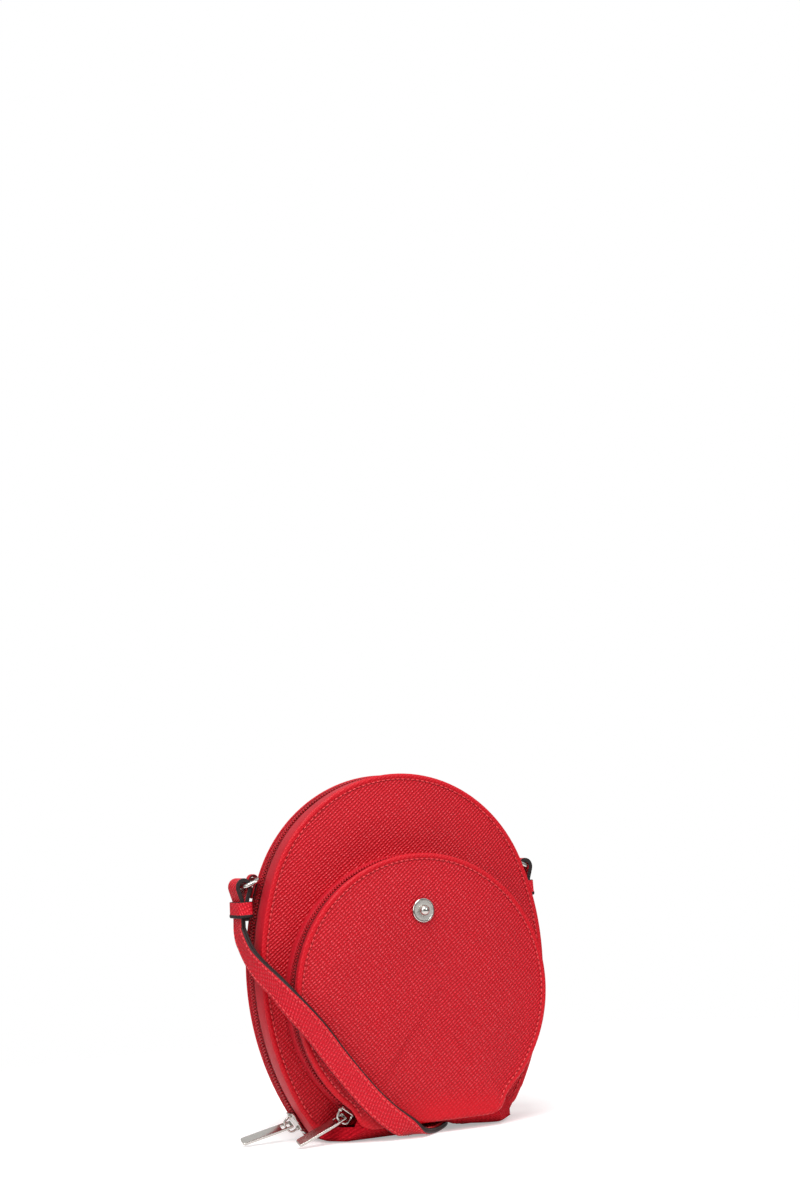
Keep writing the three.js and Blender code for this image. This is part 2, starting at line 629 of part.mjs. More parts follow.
// Ring, leather tab, strap end and keeper; built for the left side, mirrored for the right
function carrier(side, ringY, dropDegrees) {
  const place = side === 'left' ? (g) => g : mirrored;
  const lift = Math.asin((RING_Z - WIDEST_Z) / SIDE_RADIUS);
  const out = new THREE.Vector2(-Math.cos(lift), Math.sin(lift));
  const up = new THREE.Vector2(Math.sin(lift), Math.cos(lift));
  const seat = new THREE.Vector2(SIDE_RADIUS - HALF_WIDTH - SIDE_RADIUS * Math.cos(lift), RING_Z);
  const loop = RING_WIRE + RING_PLAY + TAB_LEATHER / 2;
  const inner = FIT + TAB_LEATHER / 2;
  const barOut = inner + loop;
  const flap = inner + TAB_LEATHER + FIT;
  const diagonal = loop * Math.SQRT1_2;
  const tabLine = [[inner, -TAB_LENGTH], [inner, -TAB_LENGTH / 2], [inner, 0], [barOut - diagonal, diagonal],
    [barOut, loop], [barOut + diagonal, diagonal], [barOut + loop, 0], [barOut + loop * 0.6, -TAB_PINCH],
    [flap + 2 * HAIR, -TAB_LENGTH / 2], [flap, -TAB_LENGTH]];
  const world = ([u, v]) => [seat.x + out.x * u + up.x * v, seat.y + out.y * u + up.y * v];
  const tab = slab(stripShape(tabLine.map(world), TAB_LEATHER, 36), TAB_FRONT, TAB_REAR);
  piece(`ring_tab_${side}`, place(tab), SMOOTH);

  const pivot = new THREE.Vector2(...world([barOut, 0]));
  const fall = THREE.MathUtils.degToRad(dropDegrees);
  const reach = new THREE.Vector2(-Math.cos(fall), -Math.sin(fall));
  const wireLine = [];
  const straight = RING_SPAN / 2 - RING_WIRE - RING_CORNER;
  const far = RING_REACH - RING_CORNER;
  const corners = [[RING_CORNER, straight, 180, 90], [far, straight, 90, 0],
    [far, -straight, 0, -90], [RING_CORNER, -straight, -90, -180]];
  const cornerSteps = 4;
  for (const [g, y, from, to] of corners) {
    for (let i = 0; i <= cornerSteps; i += 1) {
      const a = THREE.MathUtils.degToRad(from + (to - from) * i / cornerSteps);
      wireLine.push([g + RING_CORNER * Math.cos(a), y + RING_CORNER * Math.sin(a)]);
    }
  }
  const normal = new THREE.Vector3(-reach.y, 0, reach.x);
  const toWorld = (g, y) => new THREE.Vector3(pivot.x + reach.x * g, ringY + y, pivot.y + reach.y * g);
  const wireSides = 8;
  const rings = wireLine.map(([g, y], i) => {
    const n = wireLine.length;
    const [g0, y0] = wireLine[(i + n - 1) % n];
    const [g1, y1] = wireLine[(i + 1) % n];
    const along = toWorld(g1, y1).sub(toWorld(g0, y0)).normalize();
    const across = new THREE.Vector3().crossVectors(normal, along);
    return [...Array(wireSides).keys()].map((k) => {
      const a = 2 * Math.PI * k / wireSides;
      return toWorld(g, y).addScaledVector(normal, RING_WIRE * Math.sin(a))
        .addScaledVector(across, RING_WIRE * Math.cos(a));
    });
  });
  piece(`ring_${side}`, place(skin(rings, true)), NICKEL);

  const bar = new THREE.Vector2(pivot.x + reach.x * RING_REACH, pivot.y + reach.y * RING_REACH);
  const turn = RING_WIRE + FOLD_PLAY + STRAP_THICK / 2;
  const leg = (STRAP_THICK + FIT) / 2;
  const low = -STRAP_FOLD;
  const swell = turn * 0.75;
  const round = turn * Math.SQRT1_2;
  const foldLine = [[leg, low], [leg, -FOLD_CLOSE], [swell, -FOLD_SWELL], [turn, 0], [round, round],
    [0, turn], [-round, round], [-turn, 0], [-swell, -FOLD_SWELL], [-leg, -FOLD_CLOSE], [-leg, low]];
  const fold = stripShape(foldLine.map(([x, z]) => [bar.x + x, bar.y + z]), STRAP_THICK, 44);
  const strapEnd = slab(fold, ringY - STRAP_WIDTH / 2, ringY + STRAP_WIDTH / 2);
  piece(`strap_end_${side}`, place(strapEnd), GRAINED);

  const keeperHalfX = leg + STRAP_THICK / 2 + FIT;
  const keeperHalfY = STRAP_WIDTH / 2 + FIT;
  const outerLoop = new THREE.Shape();
  const frame = (path, x, y) => {
    path.moveTo(-x, -y);
    path.lineTo(x, -y);
    path.lineTo(x, y);
    path.lineTo(-x, y);
    path.closePath();
  };
  frame(outerLoop, keeperHalfX + KEEPER_LEATHER, keeperHalfY + KEEPER_LEATHER);
  const innerLoop = new THREE.Path();
  frame(innerLoop, keeperHalfX, keeperHalfY);
  outerLoop.holes.push(innerLoop);
  const keeper = new THREE.ExtrudeGeometry(outerLoop, { depth: KEEPER_HEIGHT, bevelEnabled: false })
    .translate(bar.x, ringY, bar.y - KEEPER_DROP - KEEPER_HEIGHT);
  piece(`keeper_${side}`, place(keeper), GRAINED);
  ['strap_end', 'keeper'].forEach((part) => strapNames.add(`${part}_${side}`));
  return { pivot, start: new THREE.Vector3(bar.x - leg, ringY, bar.y - STRAP_FOLD - 2 * FIT) };
}

// The strap's put-away length: two arms wound side by side on edge, joined by an S at the middle
function strapCoil() {
  const rate = COIL_STEP / Math.PI;
  const first = COIL_CORE / rate;
  const last = first + 2 * Math.PI * COIL_TURNS;
  const extra = Math.PI;
  const height = STRAP_WIDTH / 2 + FIT;
  const at = (angle, flip) => {
    const r = rate * angle;
    const turned = last - angle + flip;
    return new THREE.Vector3(COIL_X + r * Math.cos(turned), COIL_Y + r * Math.sin(turned), height);
  };
  const points = [];
  const steps = Math.round(TURN_STEPS * COIL_TURNS);
  for (let i = 0; i <= steps; i += 1) {
    points.push(at(last - (last - first) * i / steps, 0));
  }
  const inner = at(first, 0);
  const middle = new THREE.Vector3(COIL_X, COIL_Y, height);
  const side = new THREE.Vector3().subVectors(inner, middle);
  const half = side.length() / 2;
  const heading = Math.atan2(side.y, side.x);
  const bend = (sign, a) => new THREE.Vector3(
    middle.x + sign * side.x / 2 + half * Math.cos(a),
    middle.y + sign * side.y / 2 + half * Math.sin(a), height);
  for (let i = 1; i < BEND_STEPS; i += 1) {
    points.push(bend(1, heading + Math.PI * i / BEND_STEPS));
  }
  points.push(middle);
  for (let i = 1; i < BEND_STEPS; i += 1) {
    points.push(bend(-1, heading - Math.PI * i / BEND_STEPS));
  }
  const outSteps = Math.round(TURN_STEPS * (COIL_TURNS + extra / (2 * Math.PI)));
  for (let i = 0; i <= outSteps; i += 1) {
    points.push(at(first + (last + extra - first) * i / outSteps, Math.PI));
  }
  const up = points.map(() => new THREE.Vector3(0, 0, 1));
  let least = Infinity;
  const away = 2 * COIL_CORE;
  const lengths = [0];
  points.forEach((p, i) => i && lengths.push(lengths[i - 1] + p.distanceTo(points[i - 1])));
  for (let i = 0; i < points.length; i += 1) {
    for (let k = 0; k < i; k += 1) {
      const gap = points[i].distanceTo(points[k]) - STRAP_THICK;
      if (lengths[i] - lengths[k] > away) least = Math.min(least, gap);
    }
  }
  console.log(`strap coil: ${lengths.at(-1).toFixed(0)} mm long, least gap to itself ${least.toFixed(2)} mm`);
  piece('strap_coil', strapSweep(points, up), GRAINED);
  return { first: points[0], last: points.at(-1) };
}

frontPanel();
rearPanel();
mainGussets();
zip('main', mainTrack, MAIN_ZIP_Y);
basePanel();
baseSides();
baseStiffener();
lining('main_lining', mainTrack, PANEL + 2 * FIT, rearFace - 2 * FIT,
  baseTop + 2 * FIT + STIFFENER_THICK, MAIN_ZIP_Y);
pocket();
stud();
zipStops('main', mainTrack, MAIN_ZIP_Y);
zipStops('pocket', pocketTrack, POCKET_ZIP_Y);
const mainHinge = zipPull('main', mainTrack, MAIN_SLIDER_BACK, MAIN_ZIP_Y);
const pocketHinge = zipPull('pocket', pocketTrack, POCKET_SLIDER_BACK, POCKET_ZIP_Y);
const leftCarrier = carrier('left', LEFT_RING_Y, LEFT_RING_DROP);
const rightCarrier = carrier('right', RIGHT_RING_Y, RIGHT_RING_DROP);
const coil = strapCoil();

// Strap routes, chosen by hand: place, then the direction of the strap's width
const start = leftCarrier.start;
const FRONT_ROUTE = [
  [start.x, start.y, start.z, 0, 1, 0],
  [start.x, start.y, start.z - 5, 0, 1, 0],
  [start.x - 0.1, 15, 100.8, 0, 0.9, -0.44],
  [-82.6, 6, 92.8, 0, 0.72, -0.7],
  [-80.8, -4, 85.8, -0.1, 0.55, -0.8],
  [-77.6, -14.5, 79, -0.4, 0.35, -0.8],
  [-72, -21.6, 69.5, -0.6, 0.15, -0.75],
  [-62.5, -23.2, 57.5, -0.74, 0.02, -0.66],
  [-50.8, -23, 41, -0.77, 0, -0.64],
  [-35.2, -23, 21.5, -0.77, 0, -0.64],
  [-25, -23.6, 11.5, -0.75, 0.05, -0.66],
  [-17.5, -23.2, 6.3, -0.74, 0.35, -0.5],
  [-11, -19.5, 2.9, -0.72, 0.68, -0.1],
  [-3, -13, 1.6, -0.66, 0.75, 0],
  [6, -4, 1.6, -0.72, 0.69, 0],
  [13, 6, 1.6, -0.88, 0.48, 0],
  [18, 18, 1.6, -0.95, 0.3, 0],
  [22, 30, 1.7, -0.95, 0.3, 0],
  [26, 40, 3.7, -0.9, 0.3, 0.35],
  [29, 52, 6.2, -0.5, 0.2, 0.8],
  [coil.first.x - 0.1, coil.first.y - 9, coil.first.z, 0, 0, 1],
  [coil.first.x, coil.first.y - FIT, coil.first.z, 0, 0, 1],
];
const end = rightCarrier.start;
const REAR_ROUTE = [
  [-end.x, end.y, end.z, 0, 1, 0],
  [-end.x, end.y + 0.4, end.z - 6, 0, 1, 0],
  [82, 31, 84, 0.1, 1, 0],
  [79, 36, 60, 0.3, 0.95, 0],
  [74, 41, 36, 0.45, 0.88, 0],
  [67, 44, 16, 0.55, 0.8, 0],
  [60, 49, 5, 0.6, 0.75, 0],
  [52, 54, 4.8, 0.55, 0.65, 0.5],
  [43.5, 60, 6.4, 0.2, 0.3, 0.9],
  [coil.last.x + 0.6, coil.last.y - 8, coil.last.z, 0, 0, 1],
  [coil.last.x, coil.last.y - FIT, coil.last.z, 0, 0, 1],
];
piece('strap_front_run', strapAlong(FRONT_ROUTE, 76), GRAINED);
piece('strap_rear_run', strapAlong(REAR_ROUTE, 40), GRAINED);
['strap_coil', 'strap_front_run', 'strap_rear_run'].forEach((name) => strapNames.add(name));

// The origin sits under the middle of the pouch, strap left out
const body = new THREE.Box3();
pouch.updateMatrixWorld(true);
pouch.traverse((mesh) => {
  if (mesh.isMesh && !strapNames.has(mesh.name)) body.expandByObject(mesh, true);
});
const centre = body.getCenter(new THREE.Vector3());
pouch.position.set(-centre.x, -centre.y, -body.min.z);
const say = (name, x, y, z) => console.log(
  name, [x - centre.x, y - centre.y, z - body.min.z].map((v) => v.toFixed(2)).join(' '));
say('model origin', 0, 0, 0);
say('main puller hinge', ...mainHinge);
say('pocket puller hinge', ...pocketHinge);
say('left ring hinge', leftCarrier.pivot.x, LEFT_RING_Y, leftCarrier.pivot.y);
say('right ring hinge', -rightCarrier.pivot.x, RIGHT_RING_Y, rightCarrier.pivot.y);
say('main slider axis', mainTrack.centre.x, MAIN_ZIP_Y, mainTrack.centre.y);
say('pocket slider axis', 0, POCKET_ZIP_Y, POCKET_Z);
say('left base pad', -(baseHalf - BASE_PAD / 2), rearFace / 2, 0);

export default pouch;
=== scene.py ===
# %% [markdown]
# # A small leather phone pouch
# An oval crossbody pouch: a zipped main compartment, a round zipped pocket in front of it, nickel
# trim and a flat strap. The CAD model gives every place and size, and this lesson dresses it: leather
# that is rolled at its rims, stitching, zip chains made of single teeth, and polished hardware.
# Lengths are written in millimetres and turned to metres at the end.

# %% Load the frame
import math
import bpy
import numpy as np
from mathutils import Matrix, Vector


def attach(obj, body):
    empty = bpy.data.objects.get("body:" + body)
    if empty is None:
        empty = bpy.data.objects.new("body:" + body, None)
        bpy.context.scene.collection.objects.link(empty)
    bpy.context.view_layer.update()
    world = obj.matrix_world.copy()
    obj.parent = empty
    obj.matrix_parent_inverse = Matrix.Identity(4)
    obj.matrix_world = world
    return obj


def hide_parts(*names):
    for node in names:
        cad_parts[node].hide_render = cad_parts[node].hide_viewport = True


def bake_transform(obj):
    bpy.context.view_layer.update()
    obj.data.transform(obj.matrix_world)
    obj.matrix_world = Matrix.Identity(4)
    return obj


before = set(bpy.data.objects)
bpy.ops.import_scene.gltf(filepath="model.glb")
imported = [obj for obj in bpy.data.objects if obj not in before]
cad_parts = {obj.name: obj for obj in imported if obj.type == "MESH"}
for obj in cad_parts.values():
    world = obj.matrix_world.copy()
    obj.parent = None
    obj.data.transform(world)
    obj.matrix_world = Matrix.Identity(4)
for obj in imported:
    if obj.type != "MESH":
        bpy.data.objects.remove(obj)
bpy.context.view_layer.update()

MM = 0.001
POUCH_SHIFT = np.array((2.86, -3.85, 0.0))


def place(points):
    """Points measured from the pouch's own front face and middle, in mm, to metres in the frame."""
    return (np.asarray(points, float) + POUCH_SHIFT) * MM


# %% [markdown]
# ## The camera
# The photograph was taken from the left. The real pouch leans back on its own strap, and the model
# stands upright, so the camera takes up that lean: it looks slightly up and is rolled a little. It could
# be aimed at a point, but three turns, one after another, keep the roll apart from the aim. The places
# of the pouch's rims in the picture gave the numbers.

# %% Camera
CAMERA_PLACE = (-448.6, -979.9, 158.0)
CAMERA_TURN, CAMERA_PITCH, CAMERA_ROLL = map(math.radians, (25.0, 5.9, 3.57))
CAMERA_LENS, CAMERA_SENSOR, FARTHEST_SEEN = 62.65, 36, 50
camera_axes = (Matrix.Rotation(-CAMERA_TURN, 4, "Z") @ Matrix.Rotation(math.pi / 2 + CAMERA_PITCH, 4, "X")
               @ Matrix.Rotation(-CAMERA_ROLL, 4, "Z"))
bpy.ops.object.camera_add()
camera = bpy.context.object
camera.matrix_world = Matrix.Translation(Vector(place(CAMERA_PLACE))) @ camera_axes
camera.data.lens = CAMERA_LENS
camera.data.sensor_width = CAMERA_SENSOR
camera.data.clip_end = FARTHEST_SEEN
bpy.context.scene.camera = camera
print("camera at", [round(v, 3) for v in camera.location])

# %% [markdown]
# ## Finishes
# Each material starts from what the real one is. Colours are sRGB hex values, and one function turns
# them to linear light. A second small function adds a node with its settings and links. Patterns read
# object coordinates, or the UV map of a strip, whose two directions are measured in metres. A wave
# texture repeats every 2 pi / 20 of its scaled coordinate, so a pitch in millimetres gives its scale.

# %% Helpers for materials


def linear(hex_colour):
    values = [int(hex_colour[i:i + 2], 16) / 255 for i in (1, 3, 5)]
    return [v / 12.92 if v <= 0.04045 else ((v + 0.055) / 1.055) ** 2.4 for v in values] + [1.0]


def feed(tree, node, inputs):
    """Each input takes a constant, an output, or a node, which stands for its first output in use."""
    for name, value in inputs.items():
        if isinstance(value, bpy.types.Node):
            value = next(socket for socket in value.outputs if socket.enabled)
        if isinstance(value, bpy.types.NodeSocket):
            tree.links.new(value, node.inputs[name])
        else:
            node.inputs[name].default_value = value


def add(tree, kind, inputs=None, **settings):
    """A node with its settings and links; kind is what follows ShaderNode in Blender's name for it."""
    node = tree.nodes.new(f"ShaderNode{kind}")
    for name, value in settings.items():
        setattr(node, name, value)
    feed(tree, node, inputs or {})
    return node


def new_material(name, **shader):
    material = bpy.data.materials.new(name)
    material.use_nodes = True
    tree = material.node_tree
    tree.nodes.clear()
    surface = add(tree, "BsdfPrincipled", shader)
    add(tree, "OutputMaterial", {"Surface": surface})
    print("material", name)
    return material, tree, surface


def wave_scale(pitch):
    return 2 * math.pi / 20 / (pitch * MM)


# %% [markdown]
# ### Cross-hatched calf leather
# The panels and the strap are calfskin pressed with a hot plate: slanting ridges, cut across into short
# grains by finer lines, under a thin wax coat. Ridges lie 1.45 mm apart and cross lines 2 mm. The grain
# could be modelled, but it is finer than a sensible mesh, so two wave textures draw it, warped a little
# so that they don't look ruled. The valleys keep more dye and the tops catch light, and the colour paints
# some of that light: tops lighter as a painted highlight, valleys darker as painted shade. So one height
# drives colour, shine and bump. The rolled rims are stretched smoother, and painted shade darkens the
# groove of a seam. A "rim" and a "seam" attribute on the mesh tell the material where that is.

# %% Grained leather
LEATHER_IOR = 1.5
RIDGE_PITCH, CROSS_PITCH, GRAIN_DEPTH, GRAIN_TURN = 1.45, 2.0, 0.5, math.radians(38)
WARP_SIZE, WARP_REACH, CLOUD_SIZE = 6.25, 1.1, 35.7
CROSS_BEND, CROSS_DETAIL, CROSS_LOW = 3.5, 2.5, 0.28
GROUND_LEVEL, RIM_LEVEL, RIM_CALM, SEAM_SHADE = 0.42, 0.45, 0.7, 0.72


def grained_leather(name, coordinate, turn, colours, specular=0.24, rough=(0.6, 0.22)):
    """colours are those of the ground, the tops and the valleys; rough is given for valley and top."""
    ground, top, valley = map(linear, colours)
    material, tree, surface = new_material(name, **{"IOR": LEATHER_IOR, "Specular IOR Level": specular})
    coords = add(tree, "TexCoord").outputs[coordinate]
    warp = add(tree, "TexNoise", {"Vector": coords, "Scale": 1 / (WARP_SIZE * MM), "Detail": 2.0})
    drift = add(tree, "VectorMath", {0: warp.outputs["Color"], 1: (WARP_REACH * MM,) * 3},
                operation="MULTIPLY")
    warped = add(tree, "VectorMath", {0: coords, 1: drift}, operation="ADD")
    turned = add(tree, "Mapping", {"Vector": warped, "Rotation": turn})
    ridges = add(tree, "TexWave", {"Vector": turned, "Scale": wave_scale(RIDGE_PITCH)},
                 bands_direction="Z" if coordinate == "Object" else "Y")
    cross = add(tree, "TexWave", {
        "Vector": turned, "Scale": wave_scale(CROSS_PITCH), "Distortion": CROSS_BEND,
        "Detail Scale": CROSS_DETAIL}, bands_direction="X")
    softer = add(tree, "MapRange", {"Value": cross.outputs["Fac"], "To Min": CROSS_LOW})
    grain = add(tree, "Math", {0: ridges.outputs["Fac"], 1: softer}, operation="MULTIPLY")
    rim = add(tree, "Attribute", attribute_name="rim")
    calm = add(tree, "Math", {0: rim.outputs["Fac"], 1: RIM_CALM}, operation="MULTIPLY")
    height = add(tree, "Mix", {"Factor": calm, "A": grain, "B": RIM_LEVEL})
    # Lighter tops are partly a painted highlight and darker valleys partly painted shade; the rest is dye.
    ramp = add(tree, "ValToRGB", {"Fac": height})
    ramp.color_ramp.elements[0].color = valley
    ramp.color_ramp.elements[1].color = top
    ramp.color_ramp.elements.new(GROUND_LEVEL).color = ground
    cloud = add(tree, "TexNoise", {"Vector": coords, "Scale": 1 / (CLOUD_SIZE * MM), "Detail": 3.0})
    tone = add(tree, "MapRange", {"Value": cloud.outputs["Fac"], "To Min": 0.9, "To Max": 1.08})
    # Painted shade in the groove of a seam: the colour is darkened there to SEAM_SHADE.
    seam = add(tree, "Attribute", attribute_name="seam")
    shade = add(tree, "MapRange", {"Value": seam.outputs["Fac"], "To Min": 1.0, "To Max": SEAM_SHADE})
    value = add(tree, "Math", {0: tone, 1: shade}, operation="MULTIPLY")
    dye_and_painted_light = add(tree, "HueSaturation", {"Color": ramp, "Value": value})
    shine = add(tree, "MapRange", {"Value": height, "To Min": rough[0], "To Max": rough[1]})
    bump = add(tree, "Bump", {"Height": height, "Strength": 0.85, "Distance": GRAIN_DEPTH * MM})
    feed(tree, surface, {"Base Color": dye_and_painted_light, "Roughness": shine, "Normal": bump})
    return material


ON_PANEL, ON_STRAP = (0, GRAIN_TURN, 0), (0, 0, math.radians(24))
panel_leather = grained_leather("pressed_calf_panels", "Object", ON_PANEL,
                                ("#C4061A", "#E22C3E", "#A60414"))
# The base's colours are darker than the panels': painted shade for the base and its side folds, low by the
# floor.
shaded_base_leather = grained_leather("matt_calf_base_shaded", "Object", ON_PANEL, ("#B80C1E", "#C81A28", "#A40818"),
                               specular=0.08, rough=(0.85, 0.7))
# The strap's colours are lighter than the panels' for the same calfskin: painted light.
strap_leather = grained_leather("pressed_calf_strap", "UV", ON_STRAP, ("#D61226", "#EE3C4A", "#C00C20"))

# %% [markdown]
# ### Smooth calf, edge paint, thread and nylon
# Gussets are the same hide without the pressing: fine pores, a soft sheen and paler where the light
# grazes them. The strap's cut edges are filled with dark, rubbery edge paint. Thread is twisted
# polyester, a touch brighter than the leather, and the zip teeth are moulded nylon with a plastic gloss.
# All of these are plain surfaces with fine marks, so one function makes them: a noise of the marks' size
# for tone, shine and bump.

# %% Plain surfaces with fine marks
BLOTCH_SIZE, SHINE_SPREAD = 22.2, 0.08


def pored(name, colour, dark, rough, pore, depth, **shader):
    """A plain surface with pores or twist of a size and depth in mm, two tones and a bump."""
    material, tree, surface = new_material(name, **shader)
    coords = add(tree, "TexCoord").outputs["Object"]
    pores = add(tree, "TexNoise", {"Vector": coords, "Scale": 1 / (pore * MM), "Detail": 3.0})
    blotch = add(tree, "TexNoise", {"Vector": coords, "Scale": 1 / (BLOTCH_SIZE * MM), "Detail": 2.0})
    marks = pores.outputs["Fac"]
    blend = add(tree, "Math", {0: marks, 1: blotch.outputs["Fac"]}, operation="ADD")
    spread = add(tree, "MapRange", {"Value": blend, "From Min": 0.7, "From Max": 1.3})
    mix = add(tree, "Mix", {"Factor": spread, "A": linear(dark), "B": linear(colour)}, data_type="RGBA")
    shine = add(tree, "MapRange", {
        "Value": marks, "To Min": rough + SHINE_SPREAD, "To Max": rough - SHINE_SPREAD})
    bump = add(tree, "Bump", {"Height": marks, "Strength": 0.5, "Distance": depth * MM})
    feed(tree, surface, {"Base Color": mix, "Roughness": shine, "Normal": bump})
    return material


gusset_leather = pored("smooth_calf", "#C01C2B", "#AE1222", 0.5, 0.9, 0.12, **{
    "IOR": LEATHER_IOR, "Specular IOR Level": 0.17, "Sheen Weight": 0.02, "Sheen Roughness": 0.4})
edge_paint = pored("edge_paint", "#302626", "#1E1718", 0.45, 1.2, 0.1, **{
    "IOR": 1.5, "Specular IOR Level": 0.3})
thread = pored("polyester_thread", "#EA3A40", "#CC1E2A", 0.55, 0.5, 0.08, **{"Sheen Weight": 0.2})
# The needle holes are painted shade: a dark mark where a hole would lie in shadow.
needle_shade = pored("needle_hole_shade", "#A40A18", "#8E0610", 0.9, 0.5, 0.05)
zip_nylon = pored("nylon_zip_teeth", "#C41C2A", "#920E1A", 0.4, 0.8, 0.05, **{
    "IOR": 1.53, "Specular IOR Level": 0.25})
board_cover = pored("covered_board", "#7A2A30", "#5E2026", 0.9, 0.7, 0.1)

# %% [markdown]
# ### Woven tape and lining
# Both are plain polyester weaves, matt with a faint sheen. Single threads would take millions of faces,
# so two crossed waves on the strip's UV map draw weft and warp. The real threads are about 0.45 mm, finer
# than the render shows, so they are drawn at 0.7 mm on the tape and 0.8 mm on the lining.

# %% Woven cloth
WEAVE_DEPTH = 0.1


def woven(name, colour, dark, pitch):
    material, tree, surface = new_material(name, **{
        "Roughness": 0.85, "Sheen Weight": 0.1, "Sheen Roughness": 0.5})
    coords = add(tree, "TexCoord").outputs["UV"]
    weft, warp = (add(tree, "TexWave", {"Vector": coords, "Scale": wave_scale(pitch)},
                      bands_direction=direction).outputs["Fac"] for direction in "XY")
    weave = add(tree, "Math", {0: weft, 1: warp}, operation="MAXIMUM")
    mix = add(tree, "Mix", {"Factor": weave, "A": linear(dark), "B": linear(colour)}, data_type="RGBA")
    bump = add(tree, "Bump", {"Height": weave, "Strength": 0.6, "Distance": WEAVE_DEPTH * MM})
    feed(tree, surface, {"Base Color": mix, "Normal": bump})
    return material


tape_cloth = woven("zip_tape_weave", "#B41626", "#8A0C1A", 0.7)
lining_cloth = woven("lining_weave", "#8A3A40", "#6E2A30", 0.8)

# %% [markdown]
# ### Nickel plate
# The hardware is cast zinc, polished and plated with nickel: bright, slightly warm, with hairline marks
# from the polishing wheel that hardly show but in the roughness. A stretched noise draws them. The
# stud's flange is left satin, which a "satin" attribute on its mesh tells the material.

# %% Nickel
HAIRLINES, HAIRLINE_DEPTH, SATIN_ROUGH = (10 / 3, 2 / 5, 5 / 6), 0.05, 0.38
nickel, metal_tree, metal_surface = new_material("polished_nickel", **{"Metallic": 1.0})
metal_coords = add(metal_tree, "TexCoord").outputs["Object"]
stretch = add(metal_tree, "Mapping", {
    "Vector": metal_coords, "Scale": [1 / (size * MM) for size in HAIRLINES]})
wheel_marks = add(metal_tree, "TexNoise", {"Vector": stretch, "Scale": 1.0, "Detail": 3.0})
hairlines = wheel_marks.outputs["Fac"]
polish = add(metal_tree, "MapRange", {"Value": hairlines, "To Min": 0.1, "To Max": 0.24})
satin = add(metal_tree, "Attribute", attribute_name="satin")
brushed = add(metal_tree, "Math", {
    0: satin.outputs["Fac"], 1: SATIN_ROUGH, 2: polish}, operation="MULTIPLY_ADD")
tarnish = add(metal_tree, "Mix", {
    "Factor": hairlines, "A": linear("#B4B1AC"), "B": linear("#CECBC6")}, data_type="RGBA")
scuffs = add(metal_tree, "Bump", {"Height": hairlines, "Strength": 0.08, "Distance": HAIRLINE_DEPTH * MM})
feed(metal_tree, metal_surface, {"Base Color": tarnish, "Roughness": brushed, "Normal": scuffs})

# %% [markdown]
# ## Strips and shells
# Most of a sewn bag is made of strips: a flat piece of leather that follows a line and is turned over at
# its edges. A bevelled curve could follow the line, but it can't carry two finishes on one section, so a
# grid primitive is used. Its rows are set along the line and its columns round the section. Then the
# seam is merged, the open ends are filled and the normals recalculated. One function sets a section out
# along a line, for every strip and wire.

# %% A strip from a grid
MERGE_REACH, ALONG_Y, ALONG_Z = 1e-6, np.array((0, 1, 0)), np.array((0, 0, 1))


def unit(vectors):
    return vectors / np.linalg.norm(vectors, axis=1, keepdims=True)


def deselect():
    bpy.ops.object.select_all(action="DESELECT")


def activate(*pieces):
    """Only these pieces are selected, and the first of them is active."""
    deselect()
    for piece in pieces:
        piece.select_set(True)
    bpy.context.view_layer.objects.active = pieces[0]


def gone_along(rows, axis):
    """Mean distance gone from the first row or column of a grid to each of the others."""
    steps = np.linalg.norm(np.diff(rows, axis=axis), axis=2).mean(axis=1 - axis)
    return np.concatenate([[0], np.cumsum(steps)])


def shut(columns):
    """The first column again at the end, so that a section closes."""
    return np.concatenate([columns, columns[:, :1]], axis=1)


def shell(name, rows, materials, column_material=None, fill=True, angle=40, **point_values):
    """A grid set on rows of points in metres: rows go along the piece, columns round its section."""
    rows = shut(np.asarray(rows, float))
    count, across = rows.shape[:2]
    deselect()
    bpy.ops.mesh.primitive_grid_add(x_subdivisions=across - 1, y_subdivisions=count - 1)
    piece = bpy.context.object
    piece.name = name
    mesh = piece.data
    mesh.vertices.foreach_set("co", rows.reshape(-1))
    corners = np.zeros(len(mesh.loops), int)
    mesh.loops.foreach_get("vertex_index", corners)
    uv = np.stack([gone_along(rows, 1)[corners % across], gone_along(rows, 0)[corners // across]], axis=1)
    mesh.uv_layers[0].data.foreach_set("uv", uv.reshape(-1))
    for value_name, values in point_values.items():
        attribute = mesh.attributes.new(value_name, "FLOAT", "POINT")
        attribute.data.foreach_set("value", shut(values).reshape(-1))
    for material in materials:
        mesh.materials.append(material)
    if column_material is not None:
        mesh.polygons.foreach_set("material_index", np.tile(column_material, count - 1))
    bpy.ops.object.mode_set(mode="EDIT")
    bpy.ops.mesh.select_all(action="SELECT")
    bpy.ops.mesh.remove_doubles(threshold=MERGE_REACH)
    if fill:
        bpy.ops.mesh.select_all(action="SELECT")
        bpy.ops.mesh.fill_holes(sides=0)
    bpy.ops.mesh.select_all(action="SELECT")
    bpy.ops.mesh.normals_make_consistent(inside=False)
    bpy.ops.object.mode_set(mode="OBJECT")
    bpy.ops.object.shade_smooth_by_angle(angle=math.radians(angle))
    return piece


def swept(line, wide, face, section):
    """A section's points (a, b) set out along a line: a over the width and b out of the face."""
    wide, face = np.broadcast_to(wide, line.shape), np.broadcast_to(face, line.shape)
    return [[p + w * a + f * b for a, b in section] for p, w, f in zip(line, wide, face)]


def dress(piece, body, slot, *nodes):
    """The piece moves with a body and stands for CAD nodes, which it hides; slot is not used."""
    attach(piece, body)
    if nodes:
        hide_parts(*nodes)
    print(piece.name, "on", body, "has", len(piece.data.polygons), "faces")


